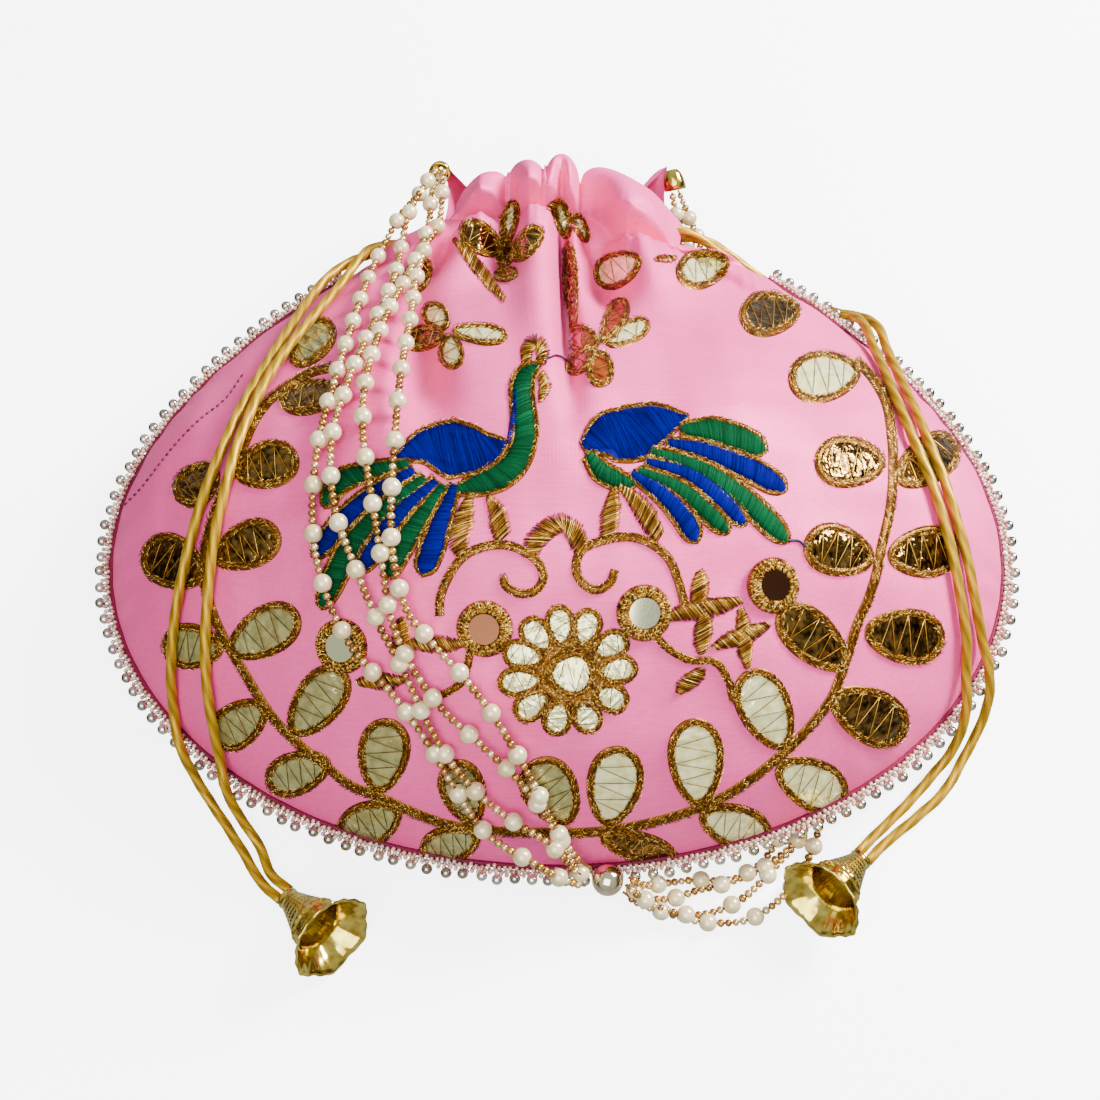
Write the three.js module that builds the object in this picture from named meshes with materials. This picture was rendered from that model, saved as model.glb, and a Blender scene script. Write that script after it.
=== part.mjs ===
// Potli bag: a gathered drawstring pouch of two satin panels, laid on its back.
// Millimetres, +Z up. X runs across the bag, Y from its base to its frill, and Z = 0 is the table.
import * as THREE from "three";

// Bag outline, seen from above
const HALF_WIDTH = 129;
const WIDEST_Y = 10;
const BASE_DEPTH = 90;
const NECK_Y = 118;
const NECK_HALF_WIDTH = 40;
const FRILL_TOP_Y = 141;
const FRILL_HALF_WIDTH = 32;

// Bag fullness
const SEAM_LOW_Z = 9;
const SEAM_RISE = 12;
const FRONT_FULLNESS = 60;
const BACK_FULLNESS = 20;
const NECK_FULLNESS = 15;
const FRILL_FLARE = 3;
const RIM_ROUNDING = 0.7;
const BACK_ROUNDING = 0.9;

// Cloth
const PANEL_THICKNESS = 1.2;
const LINING_THICKNESS = 0.8;
const BACK_LINING_FLOOR = 2.4;
const LINING_GAP = 4.6;
const CASING_ROOM = 8.6;
const CASING_SIDE_ROOM = 17;
const SEAM_GAP = 0.3;
const SLIT_HALF_HEIGHT = 5;
const GATHERS = 7;
const GATHER_DEPTH = 1.3;

// Lattice of a sheet: columns crowd towards the sides, rows towards the base, and the top rows are the frill
const COLUMN_SWEEP = 0.4 * Math.PI;
const ROW_CROWDING = 1.35;
const BODY_ROWS = 0.72;

// Cords, strap and trim
const CORD_RADIUS = 1.5;
const CORD_LIFT = 2.2;
const CORD_SIDES = 8;
const CORD_STEPS = 80;
const STRANDS = 4;
const STRAND_RADIUS = 1.1;
const STRAND_LIFT = 3;
const STRAND_STACK = 1.9;
const STRAND_STEPS = 16;
const EDGING_RADIUS = 1.4;
const EDGING_OFFSET = 1.8;
const EDGING_END_Y = 101;
const EDGING_STEPS = 60;
const BALL_RADIUS = 4.2;
const BALL_BORE = 1.4;
const BALL_CENTRE = new THREE.Vector3(13.4, -85, 14);
const MIRROR_RADIUS = 4.1;
const MIRROR_THICKNESS = 0.9;
const MIRROR_STANDOFF = 1.1;

// Bells
const BELL_LENGTH = 21;
const BELL_WALL = 0.9;
const BELL_NECK_Z = 2.75;
const BELL_PETALS = 6;
const BELL_FLUTES = 12;
const BELL_CONE_Z = 1.6;
const BELL_CONE_LENGTH = 10.2;
const BELL_SKIRT_Z = 14.2;
const FLUTE_DEPTH = 0.03;
const PETAL_DEPTH = 0.07;
const PETAL_RISE = 0.8;
const BELL_TILT = THREE.MathUtils.degToRad(25);

// Finishes seen in the photograph
const FINISHES = {
  satin: { color: 0xe88fbb, roughness: 0.45, metalness: 0 },
  lining: { color: 0xd9a5bd, roughness: 0.8, metalness: 0 },
  cord: { color: 0xc9a53f, roughness: 0.5, metalness: 0 },
  gold: { color: 0xd8bd7c, roughness: 0.25, metalness: 1 },
  pearl: { color: 0xf2ece0, roughness: 0.3, metalness: 0 },
  beads: { color: 0xd9cbb0, roughness: 0.3, metalness: 0.6 },
  mirror: { color: 0xe8ead8, roughness: 0.05, metalness: 1 },
};

const clamp01 = (t) => THREE.MathUtils.clamp(t, 0, 1);
const vec = (x, y, z) => new THREE.Vector3(x, y, z);

// Form of the bag

// Half the bag's width at a height up the bag: half an ellipse below, a curve that closes to the neck above.
function halfWidth(y, inset = 0) {
  if (y < WIDEST_Y) {
    const drop = (WIDEST_Y - y) / (BASE_DEPTH - inset);
    return (HALF_WIDTH - inset) * Math.sqrt(clamp01(1 - drop * drop));
  }
  if (y < NECK_Y) {
    const rise = (y - WIDEST_Y) / (NECK_Y - WIDEST_Y);
    return NECK_HALF_WIDTH + (HALF_WIDTH - NECK_HALF_WIDTH) * (1 - rise * rise) - inset;
  }
  const frill = 1 - frillShare(y);
  return FRILL_HALF_WIDTH + (NECK_HALF_WIDTH - FRILL_HALF_WIDTH) * frill ** 3 - inset;
}

function frillShare(y) {
  return clamp01((y - NECK_Y) / (FRILL_TOP_Y - NECK_Y));
}

function seamHeight(y) {
  const baseY = WIDEST_Y - BASE_DEPTH;
  return SEAM_LOW_Z + SEAM_RISE * clamp01((y - baseY) / (NECK_Y - baseY)) ** 0.8;
}

// How far the cloth stands off the seam's level along the bag's middle, as a share of its fullness.
function fullnessAlong(y, crown) {
  const neck = NECK_FULLNESS / crown;
  const t = clamp01((y - WIDEST_Y) / (NECK_Y - WIDEST_Y));
  return 1 - (1 - neck) * t * t * (3 - 2 * t) + (FRILL_FLARE / crown) * frillShare(y);
}

// The casing's side slit, where the front and back edges part to let the cords out.
function slit(y) {
  return SEAM_GAP / 2 + SLIT_HALF_HEIGHT * THREE.MathUtils.smoothstep(y, NECK_Y - 13, NECK_Y - 7);
}

// Shares across and along the bag at a point, for a sheet whose edge lies a given inset inside the outline.
function sheetShares(x, y, inset) {
  const half = Math.max(halfWidth(y, inset), 1e-6);
  const across = clamp01(1 - (x / half) ** 2);
  const along = y < WIDEST_Y ? (half / (HALF_WIDTH - inset)) ** 2 : 1;
  return { across, along };
}

function gather(x, y) {
  const reach = THREE.MathUtils.smoothstep(y, NECK_Y - 55, NECK_Y);
  return GATHER_DEPTH * reach * Math.cos((Math.PI * GATHERS * x) / halfWidth(Math.max(y, WIDEST_Y)));
}

function frontHeight(x, y) {
  const { across, along } = sheetShares(x, y, 0);
  const rise = FRONT_FULLNESS * fullnessAlong(y, FRONT_FULLNESS);
  const folds = gather(x, y) * across + slit(y) * (1 - across);
  return seamHeight(y) + rise * (across * along) ** RIM_ROUNDING + folds;
}

// The back lies flat on the table wherever its fullness would take it lower.
function backHeight(x, y) {
  const { across, along } = sheetShares(x, y, 0);
  const fall = BACK_FULLNESS * fullnessAlong(y, BACK_FULLNESS);
  const folds = gather(x, y) * across + slit(y) * (1 - across);
  return Math.max(0, seamHeight(y) - fall * (across * along) ** BACK_ROUNDING - folds);
}

// The lining hangs inside the panels, and leaves more room at the neck for the cords' casing.
function casingShare(y) {
  return THREE.MathUtils.smoothstep(y, NECK_Y - 48, NECK_Y - 6);
}

function liningRoom(y) {
  return LINING_GAP + (CASING_ROOM - LINING_GAP) * casingShare(y);
}

function frontLiningHeight(x, y) {
  const { across, along } = sheetShares(x, y, LINING_GAP);
  const rise = FRONT_FULLNESS * fullnessAlong(y, FRONT_FULLNESS) - liningRoom(y);
  return seamHeight(y) + SEAM_GAP / 2 + rise * (across * along) ** RIM_ROUNDING;
}

function backLiningHeight(x, y) {
  const { across, along } = sheetShares(x, y, LINING_GAP);
  const fall = BACK_FULLNESS * fullnessAlong(y, BACK_FULLNESS) - liningRoom(y);
  const height = seamHeight(y) - SEAM_GAP / 2 - fall * (across * along) ** BACK_ROUNDING;
  return Math.max(BACK_LINING_FLOOR, height);
}

// Plan position of a lattice point: columns fan from the base seam to the neck, rows climb the side edges.
function planPoint(u, v, inset) {
  const rowShare = Math.min(v, 1);
  const edgeY = WIDEST_Y + (NECK_Y - WIDEST_Y) * rowShare + (FRILL_TOP_Y - NECK_Y) * Math.max(v - 1, 0);
  const edgeX = halfWidth(edgeY, inset);
  const bow = (1 - rowShare) * (HALF_WIDTH - inset);
  const x = bow * (Math.sin((Math.PI * u) / 2) - u) + u * edgeX;
  const y = edgeY - (BASE_DEPTH - inset) * (1 - rowShare) * Math.cos((Math.PI * u) / 2);
  return { x, y };
}

// A sewn sheet: a box lattice bent to a height function and given its thickness along the surface's normal.
function sheetGeometry({ columns, rows, inset, height, thickness, inward, topShare }) {
  const geometry = new THREE.BoxGeometry(2, 1, 2, columns, rows, 1).translate(0, 0.5, 0);
  const points = geometry.getAttribute("position");
  const step = 0.3;
  for (let i = 0; i < points.count; i++) {
    const u = Math.sin(COLUMN_SWEEP * points.getX(i)) / Math.sin(COLUMN_SWEEP);
    const rowShare = points.getY(i);
    const body = Math.min(rowShare / BODY_ROWS, 1);
    const v = body ** ROW_CROWDING + topShare * Math.max((rowShare - BODY_ROWS) / (1 - BODY_ROWS), 0);
    const { x, y } = planPoint(u, v, inset);
    const { x: innerX, y: innerY } = planPoint(u * 0.985, v + (v < 0.02 ? 0.015 : 0), inset);
    const slopeX = (height(innerX + step, innerY) - height(innerX - step, innerY)) / (2 * step);
    const slopeY = (height(innerX, innerY + step) - height(innerX, innerY - step)) / (2 * step);
    const { across, along } = sheetShares(x, y, inset);
    const normal = vec(-slopeX, -slopeY, clamp01(6 * across * along)).normalize();
    const isInner = points.getZ(i) * inward > 0;
    const depth = isInner ? thickness * inward : 0;
    points.setXYZ(i, x + normal.x * depth, y + normal.y * depth, height(x, y) + normal.z * depth);
  }
  return geometry;
}

// Tubes and revolved pieces

function tubeGeometry(route, radius, steps, sides) {
  const section = new THREE.Shape();
  for (let i = 0; i < sides; i++) {
    const angle = (2 * Math.PI * i) / sides;
    const x = radius * Math.cos(angle);
    const y = radius * Math.sin(angle);
    if (i === 0) section.moveTo(x, y);
    else section.lineTo(x, y);
  }
  section.closePath();
  const extrudePath = new THREE.CatmullRomCurve3(route, false, "centripetal");
  return new THREE.ExtrudeGeometry(section, { steps, bevelEnabled: false, extrudePath });
}

// A closed ring revolved about +Z, with its faces turned outwards.
function revolved(profile, segments) {
  const points = profile.map(([r, z]) => new THREE.Vector2(r, z));
  return new THREE.LatheGeometry(points, segments).rotateX(Math.PI / 2);
}

function frontNormal(x, y) {
  const step = 1;
  const slopeX = (frontHeight(x + step, y) - frontHeight(x - step, y)) / (2 * step);
  const slopeY = (frontHeight(x, y + step) - frontHeight(x, y - step)) / (2 * step);
  return vec(-slopeX, -slopeY, 1).normalize();
}

// Height of a cord's middle where it rests on the front panel: more on a slope, so it doesn't sink in.
function restHeight(x, y, lift) {
  return frontHeight(x, y) + lift / Math.max(frontNormal(x, y).z, 0.35);
}

// Bell: fluted cone, beaded collar and a flared mouth of six petals
const BELL_OUTSIDE = [
  [2.5, 0],
  [3.2, 0.7],
  [2.8, BELL_CONE_Z],
  [4.5, 6.5],
  [6.4, 11.8],
  [7.2, 12.6],
  [7.2, 13.4],
  [6.9, BELL_SKIRT_Z],
  [8.2, 16.6],
  [10.2, 19.2],
  [12.0, BELL_LENGTH],
];

function bellGeometry() {
  const inside = BELL_OUTSIDE.filter(([, z]) => z < 12 || z > 14)
    .map(([r, z]) => [r - BELL_WALL, z])
    .reverse();
  const ring = [...BELL_OUTSIDE, ...inside, BELL_OUTSIDE[0]];
  const geometry = revolved(ring, BELL_PETALS * 5);
  const points = geometry.getAttribute("position");
  for (let i = 0; i < points.count; i++) {
    const [x, y, z] = [points.getX(i), points.getY(i), points.getZ(i)];
    const angle = Math.atan2(y, x);
    const flare = clamp01((z - BELL_SKIRT_Z) / (BELL_LENGTH - BELL_SKIRT_Z)) ** 2;
    const cone = Math.sin(Math.PI * clamp01((z - BELL_CONE_Z) / BELL_CONE_LENGTH));
    const petal = flare * Math.cos(BELL_PETALS * angle);
    const flute = cone * Math.cos(BELL_FLUTES * angle);
    const scale = 1 + PETAL_DEPTH * petal + FLUTE_DEPTH * flute;
    points.setXYZ(i, x * scale, y * scale, z + PETAL_RISE * petal);
  }
  return geometry;
}

const BELLS = {
  left_bell: { neck: vec(-74, -87.2, BELL_NECK_Z), heading: vec(0.752, -0.66, 0) },
  right_bell: { neck: vec(84, -76.6, BELL_NECK_Z), heading: vec(-0.722, -0.692, 0) },
};

function bellAxis({ heading }) {
  return heading.clone().normalize().multiplyScalar(Math.cos(BELL_TILT)).add(vec(0, 0, Math.sin(BELL_TILT)));
}

// Drawcords: each is one cord, from its bell up the bag, through the whole casing and back to the bell.
// A point with no height rests on the front panel.
const LEFT_OUTER_TAIL = [
  [-75.6, -88.1, 2.9],
  [-81.6, -82.8, 1.9],
  [-86.5, -75.5, 1.9],
  [-92.5, -67, 1.9],
  [-98, -59.5, 3.2],
  [-101.5, -54, 8],
  [-103.8, -49.3, 14.5],
  [-105, -45.2, 17],
  [-105.6, -40.5, 19.5],
  [-105, -33],
  [-103.6, -23],
  [-101, -11],
  [-97.4, 3],
  [-94, 15],
  [-90.8, 26],
  [-88, 37],
  [-85, 48],
  [-81.5, 62],
  [-78, 76],
  [-75, 88],
  [-71, 97.5, 26.5],
  [-65, 105.5, 23.4],
  [-57.5, 112, 19.6],
];
const LEFT_CASING = [
  [-48.5, 113.2, 19.1],
  [-38, 113.2, 18.6],
  [-28, 113.2, 15.6],
  [-10, 113.2, 11.6],
  [10, 113.2, 11.6],
  [25, 113.2, 14.4],
  [33, 113.2, 17],
  [36, 113.2, 21],
  [33, 113.2, 25],
  [25, 113.2, 27.8],
  [10, 113.2, 30.4],
  [-10, 113.2, 30.4],
  [-28, 113.2, 26.8],
  [-38, 113.2, 24],
  [-48.5, 113.2, 22.5],
];
const LEFT_INNER_TAIL = [
  [-54, 113, 22.9],
  [-58.5, 108.8, 26.6],
  [-61, 102.5, 29],
  [-65, 93],
  [-69.5, 82],
  [-74, 71],
  [-78.5, 58.5],
  [-82, 46],
  [-84.5, 34.3],
  [-87, 22.5],
  [-89, 10],
  [-91.2, -2.7],
  [-92.8, -17.5],
  [-93.7, -29],
  [-93.6, -39.5],
  [-92.6, -48],
  [-91.8, -54, 18.5],
  [-91, -59.2, 15],
  [-89, -64, 8.8],
  [-85.5, -69, 3.4],
  [-82, -74, 1.9],
  [-79.3, -80.2, 1.9],
  [-73.3, -85.5, 2.9],
];

const RIGHT_OUTER_TAIL = [
  [85.6, -77.5, 2.9],
  [91.4, -72, 1.9],
  [99.8, -65.5, 1.9],
  [109, -57.5, 1.9],
  [116, -47, 2.2],
  [120, -39.5, 7],
  [121.3, -33.5, 14],
  [120.6, -27.5, 19.4],
  [118.2, -20.5, 24.5],
  [115.2, -13],
  [112.6, -2],
  [109.8, 8],
  [107, 19.4],
  [104, 32],
  [101.8, 46],
  [100.5, 59],
  [99.3, 71, 28],
  [98, 80.5, 25.4],
  [95.5, 88.5, 18.5],
  [88.5, 95.5, 11],
  [78.5, 103.5, 5.5],
  [67.5, 111, 5.5],
  [57, 117, 10],
  [48.5, 119.2, 15.5],
];
const RIGHT_CASING = [
  [40.5, 118.2, 19.4],
  [32, 118.2, 18.6],
  [20, 118.2, 14.9],
  [7, 118.2, 11.6],
  [-7, 118.2, 11.6],
  [-18, 118.2, 14],
  [-27, 118.2, 16.8],
  [-30.2, 118.2, 21],
  [-27, 118.2, 25.2],
  [-18, 118.2, 28],
  [-7, 118.2, 30.4],
  [7, 118.2, 30.4],
  [20, 118.2, 27.4],
  [32, 118.2, 23.9],
  [40.5, 118.2, 22.8],
];
const RIGHT_INNER_TAIL = [
  [47.5, 115.8, 19.6],
  [56, 112.4, 14],
  [65.8, 106.5, 9.5],
  [76, 99, 9.5],
  [85.5, 92.2, 14.5],
  [91.5, 87.5, 20.8],
  [93.6, 80, 27],
  [94.5, 71, 30.5],
  [95.5, 59],
  [96.4, 46],
  [98.9, 30.2],
  [102.3, 17.7],
  [105.2, 6.6],
  [107.8, -3.6],
  [109.9, -13.2],
  [112, -22.2],
  [113.1, -30, 22.5],
  [113.8, -35.5, 18.4],
  [113.5, -41, 13.5],
  [111.2, -47, 6.5],
  [105.5, -53.5, 2.2],
  [98, -61.3, 1.9],
  [89, -69.5, 1.9],
  [83.2, -75, 2.9],
];

const DRAWCORDS = {
  left_drawcord: [...LEFT_OUTER_TAIL, ...LEFT_CASING, ...LEFT_INNER_TAIL],
  right_drawcord: [...RIGHT_OUTER_TAIL, ...RIGHT_CASING, ...RIGHT_INNER_TAIL],
};

// Strap: four beaded strands each side of the ball, as a middle route with the half-spread of the strands.
// The fourth number is the spread. A null height rests on the front panel.
const STRAP_FRONT = [
  [-37.1, 136.5, 28, 1.9],
  [-38, 132.5, 30.8, 2.4],
  [-40, 126, 32, 3.6],
  [-42.5, 115, 33, 5.6],
  [-45.4, 103, null, 7],
  [-47.6, 87, null, 8],
  [-50, 69.5, null, 9],
  [-53, 39, null, 9.5],
  [-54, 17.8, null, 10],
  [-52.5, -0.8, null, 10],
  [-49.5, -15, null, 9.5],
  [-44.3, -30.5, null, 8.5],
  [-37.5, -41, null, 8],
  [-30, -51, null, 8],
  [-22, -60, null, 8],
  [-12.4, -69, null, 7.5],
  [-1.5, -78.5, 28, 5],
  [4.6, -83.5, 19.5, 3.4],
  [8, -84.6, 15.6, 2.6],
];

const STRAP_BACK = [
  [18.3, -86, 13, 1.9],
  [22.5, -88, 9, 2.6],
  [30, -89, 4.5, 4],
  [39, -88.5, 2.8, 5.2],
  [49, -86.5, 2.8, 5.5],
  [58.5, -80.5, 2.8, 5.5],
  [66.5, -71.5, 2.8, 5.5],
  [72.5, -60, 2.8, 5.5],
  [81, -50, 2.8, 5.5],
  [93.6, -41, 2.8, 5.5],
  [105, -29.5, 2.8, 5.5],
  [113.5, -17, 2.8, 5.5],
  [118.5, -3.6, 2.8, 5.5],
  [120, 10, 2.8, 5.5],
  [117.5, 27.6, 2.8, 5.5],
  [109, 45.5, 2.8, 5.5],
  [95, 64, 2.8, 5.5],
  [75, 83, 2.8, 5.5],
  [57, 98, 4, 5],
  [48, 111, 6.5, 4],
  [42.5, 124, 14, 3],
  [38.5, 133.4, 21, 1.9],
];

const STRAP_ENDS = {
  strap_end_left: { seat: vec(-36.8, 141.2, 24.4), axis: vec(-0.05, -0.8, 0.6) },
  strap_end_right: { seat: vec(36.9, 139.4, 26), axis: vec(0.2, -0.76, -0.6) },
};
const STRAP_END_PROFILE = [
  [0.6, 0],
  [1.8, 0.2],
  [2.6, 1.4],
  [3.4, 4.2],
  [2.9, 4.2],
  [2.2, 1.9],
  [0.6, 1.2],
  [0.6, 0],
];

// One strand of the strap: set beside the middle route, and raised on its neighbours where they bunch up.
function strandRoute(middle, index) {
  const middleIndex = (STRANDS - 1) / 2;
  const side = (index - middleIndex) / middleIndex;
  return middle.map(([x, y, z, spread], i) => {
    const before = middle[Math.max(i - 1, 0)];
    const after = middle[Math.min(i + 1, middle.length - 1)];
    const along = new THREE.Vector2(after[0] - before[0], after[1] - before[1]).normalize();
    const bunched = clamp01((5 - spread) / 3);
    const offset = side * spread * (1 - 0.12 * bunched);
    const stack = bunched * STRAND_STACK * (index % 2 === 0 ? -1 : 1);
    const px = x - along.y * offset;
    const py = y + along.x * offset;
    const rest = z === null ? restHeight(px, py, STRAND_LIFT) : z;
    return vec(px, py, rest + stack);
  });
}

// Bead edging: one run of trim outside the seam, from one side of the neck round the base to the other.
function edgingRoute() {
  const route = [];
  const upperSteps = 12;
  const lowerSteps = 30;
  const offsetPoint = (x, y, nx, ny) => {
    const length = Math.hypot(nx, ny);
    return vec(x + (EDGING_OFFSET * nx) / length, y + (EDGING_OFFSET * ny) / length, seamHeight(y));
  };
  const upperPoint = (side, y) => {
    const slope = (halfWidth(y + 0.1) - halfWidth(y - 0.1)) / 0.2;
    return offsetPoint(side * halfWidth(y), y, side, -slope);
  };
  const upperY = (i) => EDGING_END_Y + ((WIDEST_Y - EDGING_END_Y) * i) / upperSteps;
  for (let i = 0; i < upperSteps; i++) route.push(upperPoint(-1, upperY(i)));
  for (let i = 0; i <= lowerSteps; i++) {
    const angle = Math.PI * (i / lowerSteps - 0.5);
    const [sin, cos] = [Math.sin(angle), Math.cos(angle)];
    const [x, y] = [HALF_WIDTH * sin, WIDEST_Y - BASE_DEPTH * cos];
    route.push(offsetPoint(x, y, sin / HALF_WIDTH, -cos / BASE_DEPTH));
  }
  for (let i = upperSteps - 1; i >= 0; i--) route.push(upperPoint(1, upperY(i)));
  return route;
}

// Round mirrors sewn on the front, at their places on the bag
const MIRRORS = {
  mirror_left_outer: [-55.5, -33.3],
  mirror_left_inner: [-18.5, -31.8],
  mirror_right_inner: [21.7, -28.1],
  mirror_right_outer: [55.2, -19.3],
};

// Assembly

const bag = new THREE.Group();

function addPiece(name, geometry, finish) {
  const mesh = new THREE.Mesh(geometry, new THREE.MeshStandardMaterial(FINISHES[finish]));
  mesh.name = name;
  bag.add(mesh);
  return mesh;
}

function standAlong(mesh, seat, axis) {
  mesh.position.copy(seat);
  mesh.quaternion.setFromUnitVectors(vec(0, 0, 1), axis.clone().normalize());
}

const frontSide = -1;
const backSide = 1;
const panel = { columns: 36, rows: 14, inset: 0, thickness: PANEL_THICKNESS, topShare: 1 };
const lining = { columns: 16, rows: 10, thickness: LINING_THICKNESS, topShare: 0.9 };

function liningSheet(height, inward) {
  const geometry = sheetGeometry({ ...lining, inset: LINING_GAP, inward, height });
  const points = geometry.getAttribute("position");
  for (let i = 0; i < points.count; i++) {
    const y = points.getY(i);
    const narrowing = (CASING_SIDE_ROOM - LINING_GAP) * casingShare(y);
    points.setX(i, points.getX(i) * (1 - narrowing / Math.max(halfWidth(y, LINING_GAP), 1)));
  }
  return geometry;
}

addPiece("front_panel", sheetGeometry({ ...panel, inward: frontSide, height: frontHeight }), "satin");
addPiece("back_panel", sheetGeometry({ ...panel, inward: backSide, height: backHeight }), "satin");
addPiece("front_lining", liningSheet(frontLiningHeight, frontSide), "lining");
addPiece("back_lining", liningSheet(backLiningHeight, backSide), "lining");

addPiece("bead_edging", tubeGeometry(edgingRoute(), EDGING_RADIUS, EDGING_STEPS, CORD_SIDES), "beads");

const cordRoute = (points) => points.map(([x, y, z = restHeight(x, y, CORD_LIFT)]) => vec(x, y, z));
for (const [name, points] of Object.entries(DRAWCORDS)) {
  addPiece(name, tubeGeometry(cordRoute(points), CORD_RADIUS, CORD_STEPS, CORD_SIDES), "cord");
}

for (const [name, bell] of Object.entries(BELLS)) {
  standAlong(addPiece(name, bellGeometry(), "gold"), bell.neck, bellAxis(bell));
}

const STRAP_HALVES = { front: STRAP_FRONT, back: STRAP_BACK };
for (const [half, middle] of Object.entries(STRAP_HALVES)) {
  for (let index = 0; index < STRANDS; index++) {
    const strand = tubeGeometry(strandRoute(middle, index), STRAND_RADIUS, STRAND_STEPS, CORD_SIDES);
    addPiece(`strap_${half}_strand_${index + 1}`, strand, "pearl");
  }
}

// The ball is a bead with a bore that the strap's threads meet in.
const ballTurn = Math.acos(BALL_BORE / BALL_RADIUS);
const ballArc = new THREE.EllipseCurve(0, 0, BALL_RADIUS, BALL_RADIUS, -ballTurn, ballTurn).getPoints(10);
const ballProfile = ballArc.map((p) => [p.x, p.y]);
const ballRing = [...ballProfile, ballProfile[0]];
standAlong(addPiece("ball_bead", revolved(ballRing, 14), "gold"), BALL_CENTRE, vec(0.98, -0.13, -0.2));

for (const [name, { seat, axis }] of Object.entries(STRAP_ENDS)) {
  standAlong(addPiece(name, revolved(STRAP_END_PROFILE, 12), "gold"), seat, axis);
}

for (const [name, [x, y]] of Object.entries(MIRRORS)) {
  const normal = frontNormal(x, y);
  const disc = new THREE.CylinderGeometry(MIRROR_RADIUS, MIRROR_RADIUS, MIRROR_THICKNESS, 16);
  const seat = vec(x, y, frontHeight(x, y)).addScaledVector(normal, MIRROR_STANDOFF);
  standAlong(addPiece(name, disc.rotateX(Math.PI / 2), "mirror"), seat, normal);
}

export default bag;
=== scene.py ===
"""Potli bag laid on its back: gathered satin, foil and zari embroidery, beaded strap, cords and flower bells.

Sizes are in millimetres in the bag's own frame (X across, Y from base to frill, Z up from the table) and
are turned into metres where meshes are made. Embroidery is laid out by points of the photograph, in pixels
of its 1100 by 1100 frame, each carried along the camera's sight line on to the front panel.
"""
import logging
import math
from collections.abc import Callable
from dataclasses import dataclass, field
from enum import Enum

import bpy
import numpy as np
from bpy.types import Material, Node, NodeSocket, NodeTree, Object
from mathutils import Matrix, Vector
from mathutils.bvhtree import BVHTree


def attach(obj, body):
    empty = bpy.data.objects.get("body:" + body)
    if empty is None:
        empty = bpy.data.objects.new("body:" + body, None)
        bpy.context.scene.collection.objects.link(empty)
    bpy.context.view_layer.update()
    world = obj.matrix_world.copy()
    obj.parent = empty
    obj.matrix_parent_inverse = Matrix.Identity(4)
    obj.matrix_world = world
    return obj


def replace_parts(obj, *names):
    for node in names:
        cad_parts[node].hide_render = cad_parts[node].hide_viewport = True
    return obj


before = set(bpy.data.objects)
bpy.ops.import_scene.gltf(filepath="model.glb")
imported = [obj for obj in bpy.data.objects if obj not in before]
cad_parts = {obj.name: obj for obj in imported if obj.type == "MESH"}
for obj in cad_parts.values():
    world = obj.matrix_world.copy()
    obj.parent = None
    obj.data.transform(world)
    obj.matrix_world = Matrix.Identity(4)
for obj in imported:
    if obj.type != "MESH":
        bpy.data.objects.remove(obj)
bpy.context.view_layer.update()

LOG = logging.getLogger("potli")
MM = 0.001
BODY = "root"
THREAD_SIDES = 3
Pixels = list[tuple[float, float]]
Array = np.ndarray
Floats = float | Array
Shell = tuple[Array, list[Array]]
Point = tuple[float, float, float]


class Slot(str, Enum):
    """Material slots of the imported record."""

    SATIN = "satin"
    LINING = "lining"
    CORD = "gold_cord"
    GOLD = "gold_metal"
    BEADS = "beaded_thread"
    EDGING = "silver_beads"
    MIRROR = "mirror"


# Small mathematics

def smoothstep(x: Floats, low: float, high: float) -> Array:
    """Smooth ramp from 0 at low to 1 at high."""
    t = np.clip((np.asarray(x, float) - low) / (high - low), 0.0, 1.0)
    return t * t * (3 - 2 * t)


def unit(v: Array) -> Array:
    """Vectors along the last axis, scaled to length one."""
    return v / np.maximum(np.linalg.norm(v, axis=-1, keepdims=True), 1e-12)


def spline(points: list | Array, count: int) -> Array:
    """Centripetal curve through given points, at even steps of length.

    Args:
        points: the chosen points, in any number of dimensions.
        count: how many points to return.
    Returns:
        The curve's points, (count, dimensions).
    """
    p = np.asarray(points, float)
    ends = [2 * p[0] - p[1]], [2 * p[-1] - p[-2]]
    p = np.concatenate([ends[0], p, ends[1]])
    knots = np.concatenate([[0.0], np.cumsum(np.linalg.norm(np.diff(p, axis=0), axis=1) ** 0.5)])
    pieces = []
    for i in range(1, len(p) - 2):
        t0, t1, t2, t3 = knots[i - 1:i + 3]
        t = np.linspace(t1, t2, 24, endpoint=False)[:, None]
        a1 = ((t1 - t) * p[i - 1] + (t - t0) * p[i]) / (t1 - t0)
        a2 = ((t2 - t) * p[i] + (t - t1) * p[i + 1]) / (t2 - t1)
        a3 = ((t3 - t) * p[i + 1] + (t - t2) * p[i + 2]) / (t3 - t2)
        b1 = ((t2 - t) * a1 + (t - t0) * a2) / (t2 - t0)
        b2 = ((t3 - t) * a2 + (t - t1) * a3) / (t3 - t1)
        pieces.append(((t2 - t) * b1 + (t - t1) * b2) / (t2 - t1))
    return resample(np.concatenate([*pieces, p[-2:-1]]), count)


def lengths_along(line: Array) -> Array:
    """Distance along a line at each of its points."""
    return np.concatenate([[0.0], np.cumsum(np.linalg.norm(np.diff(line, axis=0), axis=1))])


def resample(line: Array, count: int) -> Array:
    """A line at evenly spaced distances.

    Args:
        line: points, (n, dimensions).
        count: how many points to return.
    Returns:
        The points.
    """
    along = lengths_along(line)
    return read_along(np.linspace(0, along[-1], count), along, line)


def read_along(where: Array, distance: Array, values: Array) -> Array:
    """Values (n, dimensions) known at some distances, read at others."""
    return np.stack([np.interp(where, distance, column) for column in values.T], axis=1)


def along_and_across(line: Array) -> tuple[Array, Array]:
    """Unit directions along a flat line and to its side."""
    along = unit(np.gradient(line, axis=0))
    return along, np.stack([-along[:, 1], along[:, 0]], axis=1)


# Mesh building

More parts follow.
